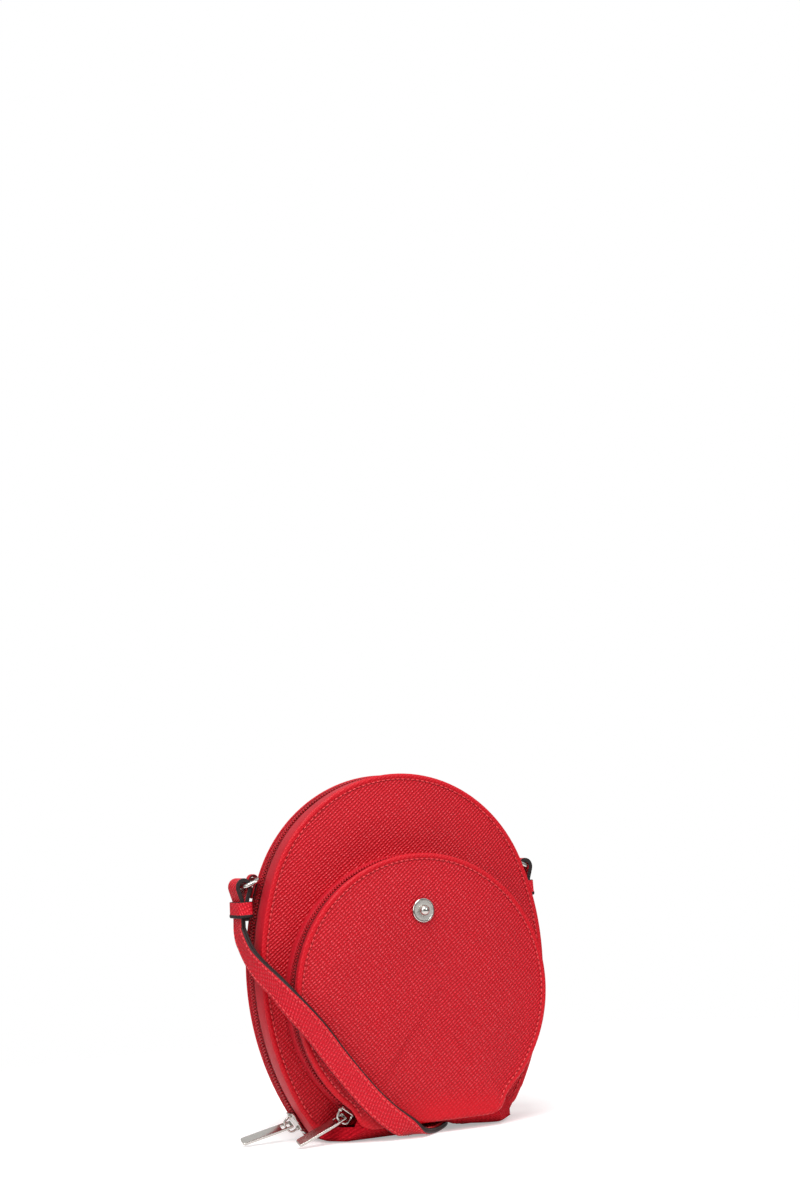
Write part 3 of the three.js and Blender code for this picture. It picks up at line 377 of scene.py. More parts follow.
# %% [markdown]
# ## The strap
# A 12 mm strap of two plies, glued and edge-painted, is a free cord: 1.2 m is usual for such a pouch. It
# hangs from the left ring, crosses the pocket slantwise and turns under the base. The rest is rolled up
# behind the pouch, out of sight, and comes up to the right ring. A simulation could lay it, but the
# photograph fixes its route, so its points are listed, as in the CAD model: a place, then the
# direction of the strap's width. Only the coil is worked out.

# %% Lines and the coil
COIL_PLACE, COIL_STEP, COIL_CORE, COIL_TURNS = (-3.0, 74.0, 6.3), 4.7, 12.0, 2.25
COIL_POINTS, BEND_POINTS = 36, 13


def smooth_line(points, steps):
    """A centripetal Catmull-Rom line through points, as the CAD model draws it."""
    p = np.asarray(points, float)
    p = np.vstack([2 * p[0] - p[1], p, 2 * p[-1] - p[-2]])
    line = []
    for a, b, c, d in zip(p, p[1:], p[2:], p[3:]):
        gap = [max(np.linalg.norm(v - u), 1e-6) ** 0.5 for u, v in ((a, b), (b, c), (c, d))]
        out = ((b - a) / gap[0] - (c - a) / (gap[0] + gap[1]) + (c - b) / gap[1]) * gap[1]
        into = ((c - b) / gap[1] - (d - b) / (gap[1] + gap[2]) + (d - c) / gap[2]) * gap[1]
        for t in np.linspace(0, 1, steps, endpoint=False):
            line.append(b * (2 * t**3 - 3 * t**2 + 1) + out * (t**3 - 2 * t**2 + t)
                        + c * (3 * t**2 - 2 * t**3) + into * (t**3 - t**2))
    return np.array(line + [p[-2]])


def coil_line():
    """Two arms wound side by side on edge and joined by an S at the middle."""
    rate = COIL_STEP / math.pi
    first = COIL_CORE / rate
    last = first + 2 * math.pi * COIL_TURNS
    middle = np.array(COIL_PLACE)

    def arm(start, end, turns, flip):
        angles = np.linspace(start, end, round(COIL_POINTS * turns))
        return [middle + rate * a * np.array((math.cos(last - a + flip), math.sin(last - a + flip), 0))
                for a in angles]

    inward = arm(last, first, COIL_TURNS, 0)
    outward = arm(first, last + math.pi, COIL_TURNS + 0.5, math.pi)
    side = inward[-1] - middle
    half, heading = np.linalg.norm(side) / 2, math.atan2(side[1], side[0])

    def bend(s):
        angles = heading + s * np.linspace(0, math.pi, BEND_POINTS)[1:-1]
        return [middle + s * side / 2 + half * np.array((math.cos(a), math.sin(a), 0)) for a in angles]

    return np.array(inward + bend(1) + [middle] + bend(-1) + outward)


coil = coil_line()
print("coil of", len(coil), "points")

# %% Strap routes
LEFT_HANG, RIGHT_HANG = (-82.84, 18.8, 115.9), (82.73, 25.0, 115.6)
ROUTE_STEPS = 6
FRONT_ROUTE = [
    (*LEFT_HANG, 0, 1, 0), (-82.84, 18.8, 110.1, 0, 1, 0), (-82.84, 18.8, 105.1, 0, 1, 0),
    (-82.94, 15, 100.8, 0, 0.9, -0.44), (-82.6, 6, 92.8, 0, 0.72, -0.7),
    (-80.8, -4, 85.8, -0.1, 0.55, -0.8), (-77.6, -14.5, 79, -0.2, 0.62, -0.76),
    (-72, -21.6, 69.5, -0.42, 0.5, -0.75), (-62.5, -23.8, 57.5, -0.6, 0.5, -0.62),
    (-50.8, -24, 41, -0.68, 0.44, -0.58), (-35.2, -24, 21.5, -0.7, 0.4, -0.58),
    (-25, -24.2, 11.5, -0.72, 0.38, -0.58), (-17.5, -23.4, 6.3, -0.74, 0.46, -0.46),
    (-11, -19.5, 2.9, -0.72, 0.68, -0.1), (-3, -13, 1.6, -0.66, 0.75, 0), (6, -4, 1.6, -0.72, 0.69, 0),
    (13, 6, 1.6, -0.88, 0.48, 0), (18, 18, 1.6, -0.95, 0.3, 0), (22, 30, 1.7, -0.95, 0.3, 0),
    (26, 40, 3.7, -0.9, 0.3, 0.35), (29, 52, 6.2, -0.5, 0.2, 0.8),
    (coil[0][0] - 0.1, coil[0][1] - 9, coil[0][2], 0, 0, 1), (*coil[0], 0, 0, 1)]
REAR_ROUTE = [
    (*RIGHT_HANG, 0, 1, 0), (82.73, 25, 109.8, 0, 1, 0), (82.73, 25.4, 103.8, 0, 1, 0),
    (82, 31, 84, 0.1, 1, 0), (79, 36, 60, 0.3, 0.95, 0), (74, 41, 36, 0.45, 0.88, 0),
    (67, 44, 16, 0.55, 0.8, 0), (60, 49, 5, 0.6, 0.75, 0), (52, 54, 4.8, 0.55, 0.65, 0.5),
    (43.5, 60, 6.4, 0.2, 0.3, 0.9),
    (coil[-1][0] + 0.6, coil[-1][1] - 8, coil[-1][2], 0, 0, 1), (*coil[-1], 0, 0, 1)]


def route(points):
    points = np.array(points, float)
    return smooth_line(points[:, :3], ROUTE_STEPS), smooth_line(points[:, 3:], ROUTE_STEPS)


front_line, front_width = route(FRONT_ROUTE)
rear_line, rear_width = route(REAR_ROUTE)
store_line = np.vstack([rear_line[:-1], coil[::-1]])
store_width = np.vstack([rear_width[:-1], np.tile((0.0, 0.0, 1.0), (len(coil), 1))])
print("routes of", len(front_line), "and", len(store_line), "points")

# %% [markdown]
# The section is two plies with a fine groove between them on each edge. Columns on the edges take the
# dark paint, and those on the faces take the leather. A strap's end is skived thin so that it can fold.

# %% Strap section and sweep
STRAP_HALF, STRAP_FACE, STRAP_FULL, SKIVED = 6.0, 1.12, 1.25, (4, 14)
HALF_SECTION = [(-5.75, 1.1), (-3, STRAP_FACE), (0, STRAP_FACE), (3, STRAP_FACE), (5.75, 1.1), (5.97, 0.9),
                (STRAP_HALF, 0.5), (5.95, 0.12), (5.7, 0), (5.95, -0.12), (STRAP_HALF, -0.5), (5.97, -0.9)]
STRAP_SECTION = HALF_SECTION + [(-across, -out) for across, out in HALF_SECTION]
STRAP_PAINT = ([0] * 4 + [1] * 8) * 2
print("strap section of", len(STRAP_SECTION), "points")


def distance_along(line):
    return np.concatenate([[0], np.cumsum(np.linalg.norm(np.diff(line, axis=0), axis=1))])


def across_and_face(line, widths):
    """Directions over the width and out of the face at each point of a strap's line."""
    along = unit(np.gradient(line, axis=0))
    wide = unit(widths - along * (widths * along).sum(axis=1, keepdims=True))
    return wide, np.cross(along, wide)


def swelling(line):
    """The strap is thin at its fold and has its full thickness a little further on."""
    return np.interp(distance_along(line), SKIVED, (1, STRAP_FULL))[:, None]


def strap(name, line, widths):
    wide, face = across_and_face(line, widths)
    rows = swept(line, wide, face * swelling(line), STRAP_SECTION)
    return shell(name, place(rows), [strap_leather, edge_paint], STRAP_PAINT, angle=50)


# %% [markdown]
# A ring can swing, and the strap swings with it near the ring while the rest lies still. Here each run is
# set in place as it is, and doesn't move with the ring.

LEFT_SWAY = ((-82.8, 18.8, 110), (-74, -18, 72))
RIGHT_SWAY = ((82.7, 25, 110), (76, 39, 45))
STRAP_RUNS = (
    ("strap_front", front_line, front_width, "left_ring_body", LEFT_SWAY),
    ("strap_store", store_line, store_width, "right_ring_body", RIGHT_SWAY))


def hang(piece, ring_body, top, bottom):
    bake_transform(piece)


strap_front, strap_store = (strap(name, line, widths) for name, line, widths, *_ in STRAP_RUNS)
for piece, (_, _, _, ring_body, sway) in zip((strap_front, strap_store), STRAP_RUNS):
    hang(piece, ring_body, *sway)
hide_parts("strap_front_run")
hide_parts("strap_coil", "strap_rear_run")

# %% [markdown]
# ## Outlines
# The body is an oval of three arcs cut off at the base, and the pocket is a circle cut off at its fold.
# Each can be drawn smaller by an inset, with the same number of points, so that rings of different
# insets join up into a panel.

# %% Oval and circle
HEIGHT, HALF_WIDTH, WIDEST_Z, SIDE_RADIUS = 180.0, 79.0, 82.0, 138.4
POCKET_RADIUS, POCKET_Z = 69.0, 70.0
SIDE_OFFSET = SIDE_RADIUS - HALF_WIDTH
MEET = math.pi / 2 - 2 * math.atan((WIDEST_Z + SIDE_RADIUS - HEIGHT) / SIDE_OFFSET)
TOP_Z = WIDEST_Z + SIDE_OFFSET * math.tan(MEET)
TOP_RADIUS = SIDE_RADIUS - SIDE_OFFSET / math.cos(MEET)


def oval(inset, floor, steps=48):
    """Points (x, z) and outward directions from the right foot over the top to the left foot."""
    foot = -math.asin((WIDEST_Z - floor) / (SIDE_RADIUS - inset))
    arcs = ((-SIDE_OFFSET, WIDEST_Z, SIDE_RADIUS, foot, MEET),
            (0, TOP_Z, TOP_RADIUS, MEET, math.pi - MEET),
            (SIDE_OFFSET, WIDEST_Z, SIDE_RADIUS, math.pi - MEET, math.pi - foot))
    angles = [(x, z, r - inset, a)
              for x, z, r, start, end in arcs for a in np.linspace(start, end, steps)[:-1]]
    angles.append((SIDE_OFFSET, WIDEST_Z, SIDE_RADIUS - inset, math.pi - foot))
    points = np.array([(x + r * math.cos(a), z + r * math.sin(a)) for x, z, r, a in angles])
    return points, np.array([(math.cos(a), math.sin(a)) for *_, a in angles])


def circle(inset, floor, steps=140):
    foot = -math.asin((POCKET_Z - floor) / (POCKET_RADIUS - inset))
    angles = np.linspace(foot, math.pi - foot, steps)
    out = np.stack([np.cos(angles), np.sin(angles)], axis=1)
    return out * (POCKET_RADIUS - inset) + (0, POCKET_Z), out


def closed(track, inset, floor, foot_steps=40):
    """A whole outline: the track, then straight back along the floor."""
    points, _ = track(inset, floor)
    foot = np.linspace(points[-1], points[0], foot_steps + 2)[1:-1]
    return np.vstack([points, foot])


def standing(flat, y):
    """Points (x, z) stood up in the plane at a depth y."""
    return np.stack([flat[:, 0], np.full(len(flat), y), flat[:, 1]], axis=1)


print("arcs meet at", round(math.degrees(MEET), 2), "degrees, top radius", round(TOP_RADIUS, 2))

# %% [markdown]
# ## Panels
# A panel is two layers of leather over a thin foam, skived and rolled at the rim: crowned in the middle,
# sunk along its stitching and rounded over at the edge. A bevelled plate would have one radius all over,
# so each ring of a grid is the outline at one inset, at the depth that the leather has there. The
# attributes "rim" and "seam" calm the grain on the rolled part and paint shade into the groove. Where a
# panel turns under in a plain fold, its rim isn't sewn.

# %% Panel rings
PANEL_FACE = [(45, -2.2), (34, -2.05), (24, -1.5), (17, -0.75), (11, 0.2), (7, 0.88), (5, 1.17),
              (3.9, 1.32), (3.4, 1.42), (2.9, 1.56), (2.4, 1.44), (1.9, 1.33), (1.3, 1.3), (0.8, 1.38),
              (0.4, 1.56), (0.1, 1.82), (0, 2.05)]
PANEL_BACK = [(0.1, 2.25), (0.5, 2.38), (1.2, 2.4), (6, 2.4), (30, 2.4)]
FOLD_INSET = (0, 0.1, 0.4, 0.8, 1.6, 2.6, 4, 7, 17)
FOLD_DEPTH = (2.05, 1.7, 1.3, 1.0, 0.72, 0.58, 0.43, 0.05, -1.0)
STITCH_INSET, STITCH_DEPTH, GROOVE_HALF = 2.9, 1.28, 0.8
SEWN_RIM, FOLDED_RIM, NO_FOLD = (4, 2), (16, 6), (-1.0, 0.0)


def ramped(inset, rim):
    """From 0 at the inner edge of a rim to 1 at its outer edge."""
    return np.clip((inset - rim[0]) / (rim[1] - rim[0]), 0, 1)


def drawn_in(outline, inset, middle):
    """The outline moved straight towards a point inside it."""
    return outline - inset * unit(outline - middle)


def panel(name, outline, middle, face, way, fold):
    """way is 1 where the face looks forward; below the heights of fold the rim is a plain fold."""
    folded = np.clip((fold[1] - outline[:, 1]) / (fold[1] - fold[0]), 0, 1)
    rows, rim, groove = [], [], []
    for number, (inset, depth) in enumerate(PANEL_FACE + PANEL_BACK):
        turned = np.interp(inset, FOLD_INSET, FOLD_DEPTH) if number < len(PANEL_FACE) else depth
        row = standing(drawn_in(outline, inset, middle), face)
        row[:, 1] += way * (depth + (turned - depth) * folded)
        rows.append(row)
        sewn = ramped(inset, SEWN_RIM)
        rim.append(sewn + (ramped(inset, FOLDED_RIM) - sewn) * folded)
        # The groove marks where painted shade darkens the stitching.
        groove.append((1 - folded) * np.clip(1 - abs(inset - STITCH_INSET) / GROOVE_HALF, 0, 1))
    return shell(name, place(rows), [panel_leather], angle=60, rim=np.array(rim), seam=np.array(groove))


# %% [markdown]
# The pocket's circle turns in at its lower corners with a small S, down to the fold. The body's front
# panel rounds off above the base, and the rear panel reaches the floor, but for the place where the strap
# passes. No arc gives these corners, so a few listed points take over from it.

# %% Panel outlines
CHANNEL_RISE, CHANNEL_HALF, CHANNEL_X, CHANNEL_SLANT = 3.8, 17.0, 8.0, 0.6
POCKET_CORNER = [(49.63, 22.07), (46.5, 19.3), (43.8, 16.6), (41.9, 13.8), (40.5, 11.0), (38.7, 8.4),
                 (35.6, 6.5), (31, 5.8)]
FRONT_CORNER = [(61, 14.3), (58.7, 10.6), (56.8, 8.0), (54.2, 6.5), (50, 6.2)]
REAR_CORNER = [(56.5, 7.0), (54.3, 3.4), (52.6, 1.2), (50.4, 0.3), (47, 0.2)]
REAR_FOOT, REAR_FOOT_Y, CORNER_GAP = 5, 24.8, 0.5


def channel(x, y):
    """How far the base lifts where the strap passes under it."""
    aside = np.minimum(1, np.abs(x - CHANNEL_X - CHANNEL_SLANT * y) / CHANNEL_HALF)
    return CHANNEL_RISE * (1 - aside ** 4) ** 2


def cornered(points, corner, foot_steps=60):
    """An outline that leaves its arc at the first corner point, mirrored, and is closed along the foot."""
    bend = smooth_line(corner, 4)
    upper = points[points[:, 1] > corner[0][1] + CORNER_GAP]
    foot_x, foot_z = corner[-1]
    foot = np.stack([np.linspace(-foot_x, foot_x, foot_steps), np.full(foot_steps, foot_z)], axis=1)
    return np.vstack([bend[::-1], upper, bend * (-1, 1), foot[1:-1]])


pocket_outline = cornered(circle(0, floor=12)[0], POCKET_CORNER)
front_outline = cornered(oval(0, floor=8)[0], FRONT_CORNER)
rear_outline = cornered(oval(0, floor=2)[0], REAR_CORNER)
at_foot = rear_outline[:, 1] < REAR_FOOT
rear_outline[at_foot, 1] += channel(rear_outline[at_foot, 0], REAR_FOOT_Y)
print("outlines of", len(pocket_outline), len(front_outline), len(rear_outline), "points")

# %% Make the panels
BODY_MIDDLE, POCKET_MIDDLE = np.array((0, 85.0)), np.array((0, 66.0))
FRONT_Y, REAR_Y, POCKET_Y, POCKET_FOLD = 0.0, 26.0, -20.0, (7.0, 13.0)
PANELS = {
    "front_panel": (front_outline, BODY_MIDDLE, FRONT_Y, 1),
    "rear_panel": (rear_outline, BODY_MIDDLE, REAR_Y, -1),
    "pocket_panel": (pocket_outline, POCKET_MIDDLE, POCKET_Y, 1)}
FOLDS = {"front_panel": NO_FOLD, "rear_panel": NO_FOLD, "pocket_panel": POCKET_FOLD}
for name, shape in PANELS.items():
    dress(panel(f"{name}_leather", *shape, FOLDS[name]), "root", "grained_leather", name)

# %% [markdown]
# ## Gussets, tapes and linings
# The gussets are strips on edge. Their outer face bulges a little and folds back into a rounded lip beside
# the zip. The woven tapes run under those lips. All of them follow the oval or the circle, so a section
# is swept along that track: a list of (depth, inset) pairs.

# %% Gussets
MAIN_ZIP_Y, POCKET_ZIP_Y, ZIP_HALF = 18.2, -9.5, 3.5
MAIN_FLOOR, POCKET_FLOOR = 3.0, 10.8


def follow(name, track, floor, section, material):
    points, out = track(0, floor)
    rows = swept(standing(points, 0), ALONG_Y, standing(-out, 0), section)
    return shell(name, place(rows), [material], angle=45)


def lip_section(seam, lip):
    """From the seam with a panel to the folded lip beside the zip."""
    way = 1 if lip > seam else -1
    span = abs(lip - seam)
    outer = [(0, 1.3), (0.25, 0.8), (0.12 * span + 0.3, 0.5), (0.4 * span, 0.38), (0.7 * span, 0.46),
             (span - 0.9, 0.6), (span - 0.35, 0.8), (span - 0.05, 1.25), (span, 1.6)]
    inner = [(span - 0.2, 2.0), (span - 0.7, 2.2), (0.5 * span, 2.2), (0.2, 2.2), (0, 1.9)]
    return [(seam + way * d, inset) for d, inset in outer + inner]


for name, track, floor, seam, lip in (
        ("front_gusset", oval, MAIN_FLOOR, 2.6, MAIN_ZIP_Y - ZIP_HALF),
        ("rear_gusset", oval, MAIN_FLOOR, 23.4, MAIN_ZIP_Y + ZIP_HALF),
        ("pocket_front_gusset", circle, POCKET_FLOOR, -17.5, POCKET_ZIP_Y - ZIP_HALF),
        ("pocket_rear_gusset", circle, POCKET_FLOOR, -0.2, POCKET_ZIP_Y + ZIP_HALF)):
    strip = follow(f"{name}_leather", track, floor, lip_section(seam, lip), gusset_leather)
    dress(strip, "root", "smooth_leather", name)

# %% Zip tapes
TAPE_SECTION = [(0.6, 2.6), (2.5, 2.5), (4.6, 2.55), (4.8, 2.9), (4.6, 3.2), (2.5, 3.2), (0.6, 3.1)]
ZIP_SIDES = [(zip_name, side, way, track, floor, zip_y)
             for zip_name, track, floor, zip_y in (("main", oval, MAIN_FLOOR, MAIN_ZIP_Y),
                                                   ("pocket", circle, POCKET_FLOOR, POCKET_ZIP_Y))
             for side, way in (("front", -1), ("rear", 1))]
for zip_name, side, way, track, floor, zip_y in ZIP_SIDES:
    section = [(zip_y + way * d, inset) for d, inset in TAPE_SECTION]
    tape = follow(f"{zip_name}_tape_{side}", track, floor, section, tape_cloth)
    dress(tape, "root", "zip_tape", f"{zip_name}_zip_tape_{side}")

# %% [markdown]
# The linings are thin bags inside, open along the zip. They hardly show, but an open zip would show a
# hollow shell without them. Each is a pillow whose two halves stop at the slit.

# %% Linings
LINING_INSET, LINING_CLOTH, SLIT_HALF = 5.2, 0.5, 2.5


def lining(name, track, front, rear, floor, zip_y, node):
    for label, face, lip in (("front", front, zip_y - SLIT_HALF), ("rear", rear, zip_y + SLIT_HALF)):
        way = 1 if lip > face else -1
        inner = face + way * LINING_CLOTH
        profile = [(40, face), (20, face), (8, face), (5.6, inner), (LINING_INSET, face + way * 1.2),
                   (LINING_INSET, lip), (5.7, lip), (5.7, face + way * 1.3), (6.2, face + way * 0.7),
                   (8, inner), (20, inner), (40, inner)]
        rows = [standing(closed(track, inset, floor + inset - LINING_INSET), y) for inset, y in profile]
        dress(shell(f"{name}_{label}", place(rows), [lining_cloth]), "root", "lining", node)


lining("main_lining_cloth", oval, 3.1, 22.9, 7.8, MAIN_ZIP_Y, "main_lining")
lining("pocket_lining_cloth", circle, -15.6, -0.7, 12.2, POCKET_ZIP_Y, "pocket_lining")

# %% [markdown]
# ## The base
# One piece of leather makes the base. It lies flat, lifts where the strap passes under it, and in front it
# narrows and slopes up behind the pocket's fold. A cube could be bent to this, but the lift and the slope
# are easier to write as a height at each point, so a grid runs across the pouch with the rounded section
# in its columns.

# %% Base
BASE_HALF, BASE_THICK, LIP_HALF, LIP_Z, LIP_FRONT = 52.99, 1.8, 36.0, 7.2, -20.0
BASE_STEPS, BASE_END, BASE_ROUND = 97, 0.88, 1.7
BASE_SECTION = [(23.2, 0.4), (22.7, 0), (18, 0), (12, 0), (6, 0), (0, 0), (-4, 0), (-6.6, 0), (-8.4, 0.3),
                (-12, 2.1), (-16, 4.4), (-18, 5.7), (-18.6, 6.6), (-18.2, 7.4), (-17.2, 7.0), (-13, 4.4),
                (-8.4, 2.1), (-6.5, 1.8), (0, 1.8), (6, 1.8), (12, 1.8), (18, 1.8), (22.9, 1.8),
                (23.3, 1.3)]
EASE_RISE, EASE_START, EASE_END, EASE_DEPTH = 2.2, 8.0, 44.0, 6


def share(value):
    return float(np.clip(value, 0, 1))


def eased(x, y):
    """Right of the strap the front edge comes down to the floor slowly."""
    gone = share((x - EASE_START) / (EASE_END - EASE_START))
    return EASE_RISE * (1 - gone * gone * (3 - 2 * gone)) * share(-y / EASE_DEPTH) * (x > 0)


def base_row(t):
    """The section at a share t of the half length, from -1 at the left end to 1 at the right."""
    rounding = BASE_ROUND * max(0.0, (abs(t) - BASE_END) / (1 - BASE_END)) ** 2
    row = []
    for y, z in BASE_SECTION:
        flat = 1 - share((z - BASE_THICK) / (LIP_Z - BASE_THICK))
        x = t * (BASE_HALF - share(y / LIP_FRONT) * (BASE_HALF - LIP_HALF))
        lift = max(channel(x, y) * flat, eased(x, y) * flat, rounding * (1 - min(z / BASE_THICK, 1)))
        row.append((x, y, z + lift))
    return row


base_rows = [base_row(t) for t in np.linspace(-1, 1, BASE_STEPS)]
base = shell("shaded_base_leather", place(base_rows), [shaded_base_leather], angle=50)
dress(base, "root", "grained_leather", "base_panel")

# %% [markdown]
# The wedge at each end, between the sloping front and the body, is closed by a small side fold. It ends
# under the front panel, and the left one stays low where the pocket's slider needs room.

# %% Side folds
SIDE_FOLD, SIDE_HIGH, SIDE_STEPS, SIDE_INSET, SIDE_SINK = 1.2, 11.0, 37, 0.2, 0.3
SIDE_REAR, SIDE_FRONT, SLOPE_FOOT, SLOPE = 2.4, -17.4, -7.3, 0.53
UNDER_PANEL, PANEL_EDGE = 6.1, -0.5
SLIDER_ROOM, ROOM_START, ROOM_RUN = {"left": 3.5, "right": 0.0}, -15.4, 1.4


def side_section(y, room):
    outer = BASE_HALF - (BASE_HALF - LIP_HALF) * max(0.0, y / LIP_FRONT) - SIDE_INSET
    foot = BASE_THICK - SIDE_SINK + SLOPE * max(0.0, SLOPE_FOOT - y)
    high = SIDE_HIGH - room * share((y - ROOM_START) / ROOM_RUN)
    if y > PANEL_EDGE:
        high = min(high, UNDER_PANEL)
    return [(outer, foot), (outer, high - 0.4), (outer - 0.3, high), (outer - 0.9, high),
            (outer - SIDE_FOLD, high - 0.4), (outer - SIDE_FOLD, foot)]


for side, mirror in (("left", -1), ("right", 1)):
    rows = [[(mirror * x, y, z) for x, z in side_section(y, SLIDER_ROOM[side])]
            for y in np.linspace(SIDE_REAR, SIDE_FRONT, SIDE_STEPS)]
    fold = shell(f"base_side_{side}_leather", place(rows), [shaded_base_leather])
    dress(fold, "root", "grained_leather", f"base_side_{side}")

# %% [markdown]
# ## Stitching
# One stitch is a small sphere drawn out to a grain of rice. A bump could hint at it, but a raised thread
# with its own shine reads as sewing. It is copied along each seam at the pitch of the machine, 2.8 mm,
# laid in the groove near the edge, with a dark mark of painted shade for the needle's hole between two.
# The copies are joined into one piece for each seam.

# %% A stitch, a needle hole and copies of them
STITCH_PITCH, STITCH_LONG, STITCH_WIDE = 2.8, 1.05, 0.38
HOLE_SHAPE, HOLE_SINK, HEADING_REACH = (0.5, 1.1, 0.5, 1), 0.12, 0.4


def spaced(line, pitch):
    """Points and directions at even distances along a line."""
    gone = distance_along(line)
    marks = np.linspace(0, gone[-1], max(2, int(gone[-1] / pitch)) + 1)
    marks = (marks[1:] + marks[:-1]) / 2
    spots, after, before = (
        np.stack([np.interp(marks + offset, gone, column) for column in line.T], axis=1)
        for offset in (0, HEADING_REACH, -HEADING_REACH))
    return spots, unit(after - before)


def paint(mesh, material):
    mesh.materials.clear()
    mesh.materials.append(material)


def joined(name, parts, material):
    activate(*parts)
    bpy.ops.object.join()
    parts[0].name = name
    paint(parts[0].data, material)
    return parts[0]


def copies(name, template, frames, material):
    """Copies of a small template, each with its own mesh, joined into one piece."""
    made = []
    for spot, along, face in frames:
        along = Vector(along).normalized()
        across = Vector(face).cross(along).normalized()
        turn = Matrix((along, across, along.cross(across))).transposed().to_4x4()
        copy = bpy.data.objects.new(name, template.data.copy())
        copy.data.transform(Matrix.Translation(Vector(spot)) @ turn)
        bpy.context.scene.collection.objects.link(copy)
        made.append(copy)
    print(name, len(made), "copies")
    return joined(name, made, material)


deselect()
bpy.ops.mesh.primitive_uv_sphere_add(segments=8, ring_count=5, radius=MM)
stitch = bpy.context.object
bpy.ops.transform.resize(value=(STITCH_LONG, STITCH_WIDE, STITCH_WIDE))
bpy.ops.object.transform_apply(scale=True)
bpy.ops.object.shade_smooth()
needle = stitch.copy()
needle.data = stitch.data.copy()
bpy.context.scene.collection.objects.link(needle)
needle.data.transform(Matrix.Diagonal(HOLE_SHAPE))
print("stitch of", len(stitch.data.polygons), "faces")

# %% Seams of the panels


def seam_frames(outline, middle, face, way, lowest):
    """The open part of a seam, from the right foot over the top to the left foot."""
    line = drawn_in(outline, STITCH_INSET, middle)
    line = standing(line[line[:, 1] > lowest], face + way * STITCH_DEPTH)
    spots, heading = spaced(line, STITCH_PITCH)
    return [(s, h, (0, -way, 0)) for s, h in zip(place(spots), heading)]


def needle_frames(frames):
    """A dark mark of painted shade for the hole between each stitch and the next, sunk a little below
    them.
    """
    return [((np.array(a) + b) / 2 - np.array(face) * HOLE_SINK * MM, heading, face)
            for (a, heading, face), (b, _, _) in zip(frames, frames[1:])]


for name, panel_name, lowest in (("front_panel_stitches", "front_panel", 12),
                                 ("rear_panel_stitches", "rear_panel", 9),
                                 ("pocket_stitches", "pocket_panel", 12.5)):
    frames = seam_frames(*PANELS[panel_name], lowest)
    dress(copies(name, stitch, frames, thread), "root", "grained_leather")
    dress(copies(f"{name}_holes", needle, needle_frames(frames), needle_shade), "root", "grained_leather")

# %% Seams of the strap
STRAP_SEAM = 4.6


def strap_frames(line, widths):
    frames = []
    wide, face = across_and_face(line, widths)
    for edge in (-1, 1):
        for side in (-1, 1):
            seam_line = line + edge * wide * STRAP_SEAM + side * face * swelling(line) * STRAP_FACE
            spots, heading = spaced(seam_line, STITCH_PITCH)
            nearest = [int(np.argmin(np.linalg.norm(seam_line - s, axis=1))) for s in spots]
            frames += [(s, h, face[i] * side) for s, h, i in zip(place(spots), heading, nearest)]
    return frames


for name, line, widths, ring_body, sway in STRAP_RUNS:
    hang(copies(f"{name}_stitches", stitch, strap_frames(line, widths), thread), ring_body, *sway)

# %% [markdown]
# ## Zip chains
# A coil zip is a nylon spiral sewn to each tape. From outside each turn shows as a rounded tooth that
# reaches over the middle between two of the other side. A real spiral would be hidden but for these
# tops, so one tooth is a bevelled block, copied every 1.6 mm along the track, the two sides half a step
# apart.

# %% Zip teeth
TOOTH_SIZE, TOOTH_ROUND, TOOTH_PITCH, TOOTH_INSET, TOOTH_OFF = (0.85, 2.1, 1.0), 0.28, 1.6, 0.7, 1.0


def box(size, middle=(0, 0, 0)):
    """A block of a size in mm, with its middle at a place in mm."""
    deselect()
    bpy.ops.mesh.primitive_cube_add(size=MM, location=[v * MM for v in middle])
    bpy.ops.transform.resize(value=size)
    bpy.ops.object.transform_apply(location=True, scale=True)
    return bpy.context.object


def chain(name, track, floor, zip_y, way):
    points, out = track(TOOTH_INSET, floor)
    spots, heading = spaced(standing(points, zip_y + way * TOOTH_OFF), TOOTH_PITCH)
    if way > 0:
        spots = spots + heading * TOOTH_PITCH / 2
    nearest = [int(np.argmin(np.linalg.norm(points - s, axis=1))) for s in spots[:, [0, 2]]]
    frames = [(s, h, (out[i][0], 0, out[i][1])) for s, h, i in zip(place(spots), heading, nearest)]
    return copies(name, tooth, frames[1:-1], zip_nylon)


tooth = box(TOOTH_SIZE)
tooth_bevel = tooth.modifiers.new("rounding", "BEVEL")
tooth_bevel.width, tooth_bevel.segments = TOOTH_ROUND * MM, 1
bpy.ops.object.modifier_apply(modifier=tooth_bevel.name)
bpy.ops.object.shade_smooth()
for zip_name, side, way, track, floor, zip_y in ZIP_SIDES:
    teeth = chain(f"{zip_name}_teeth_{side}", track, floor, zip_y, way)
    dress(teeth, "root", "zip_coil", f"{zip_name}_zip_coil_{side}")

# %% [markdown]
# ## Sliders and pullers
# A slider is two plates with the chain between them, and a bridge on top that the puller hangs from. It
# is a small casting with soft edges, so the plates are bevelled cubes drawn in to a nose, and the bridge
# is a strip bent over. It is modelled lying flat and then turned to its place on the track.

# %% Bevels and plates


def bevelled(piece, width, segments=3, angle=35):
    activate(piece)
    bevel = piece.modifiers.new("bevel", "BEVEL")
    bevel.width, bevel.segments, bevel.limit_method = width * MM, segments, "ANGLE"
    bpy.ops.object.modifier_apply(modifier=bevel.name)
    bpy.ops.object.shade_smooth_by_angle(angle=math.radians(angle))
    weighted = piece.modifiers.new("weighted", "WEIGHTED_NORMAL")
    weighted.keep_sharp = True
    bpy.ops.object.modifier_apply(modifier=weighted.name)
    return piece


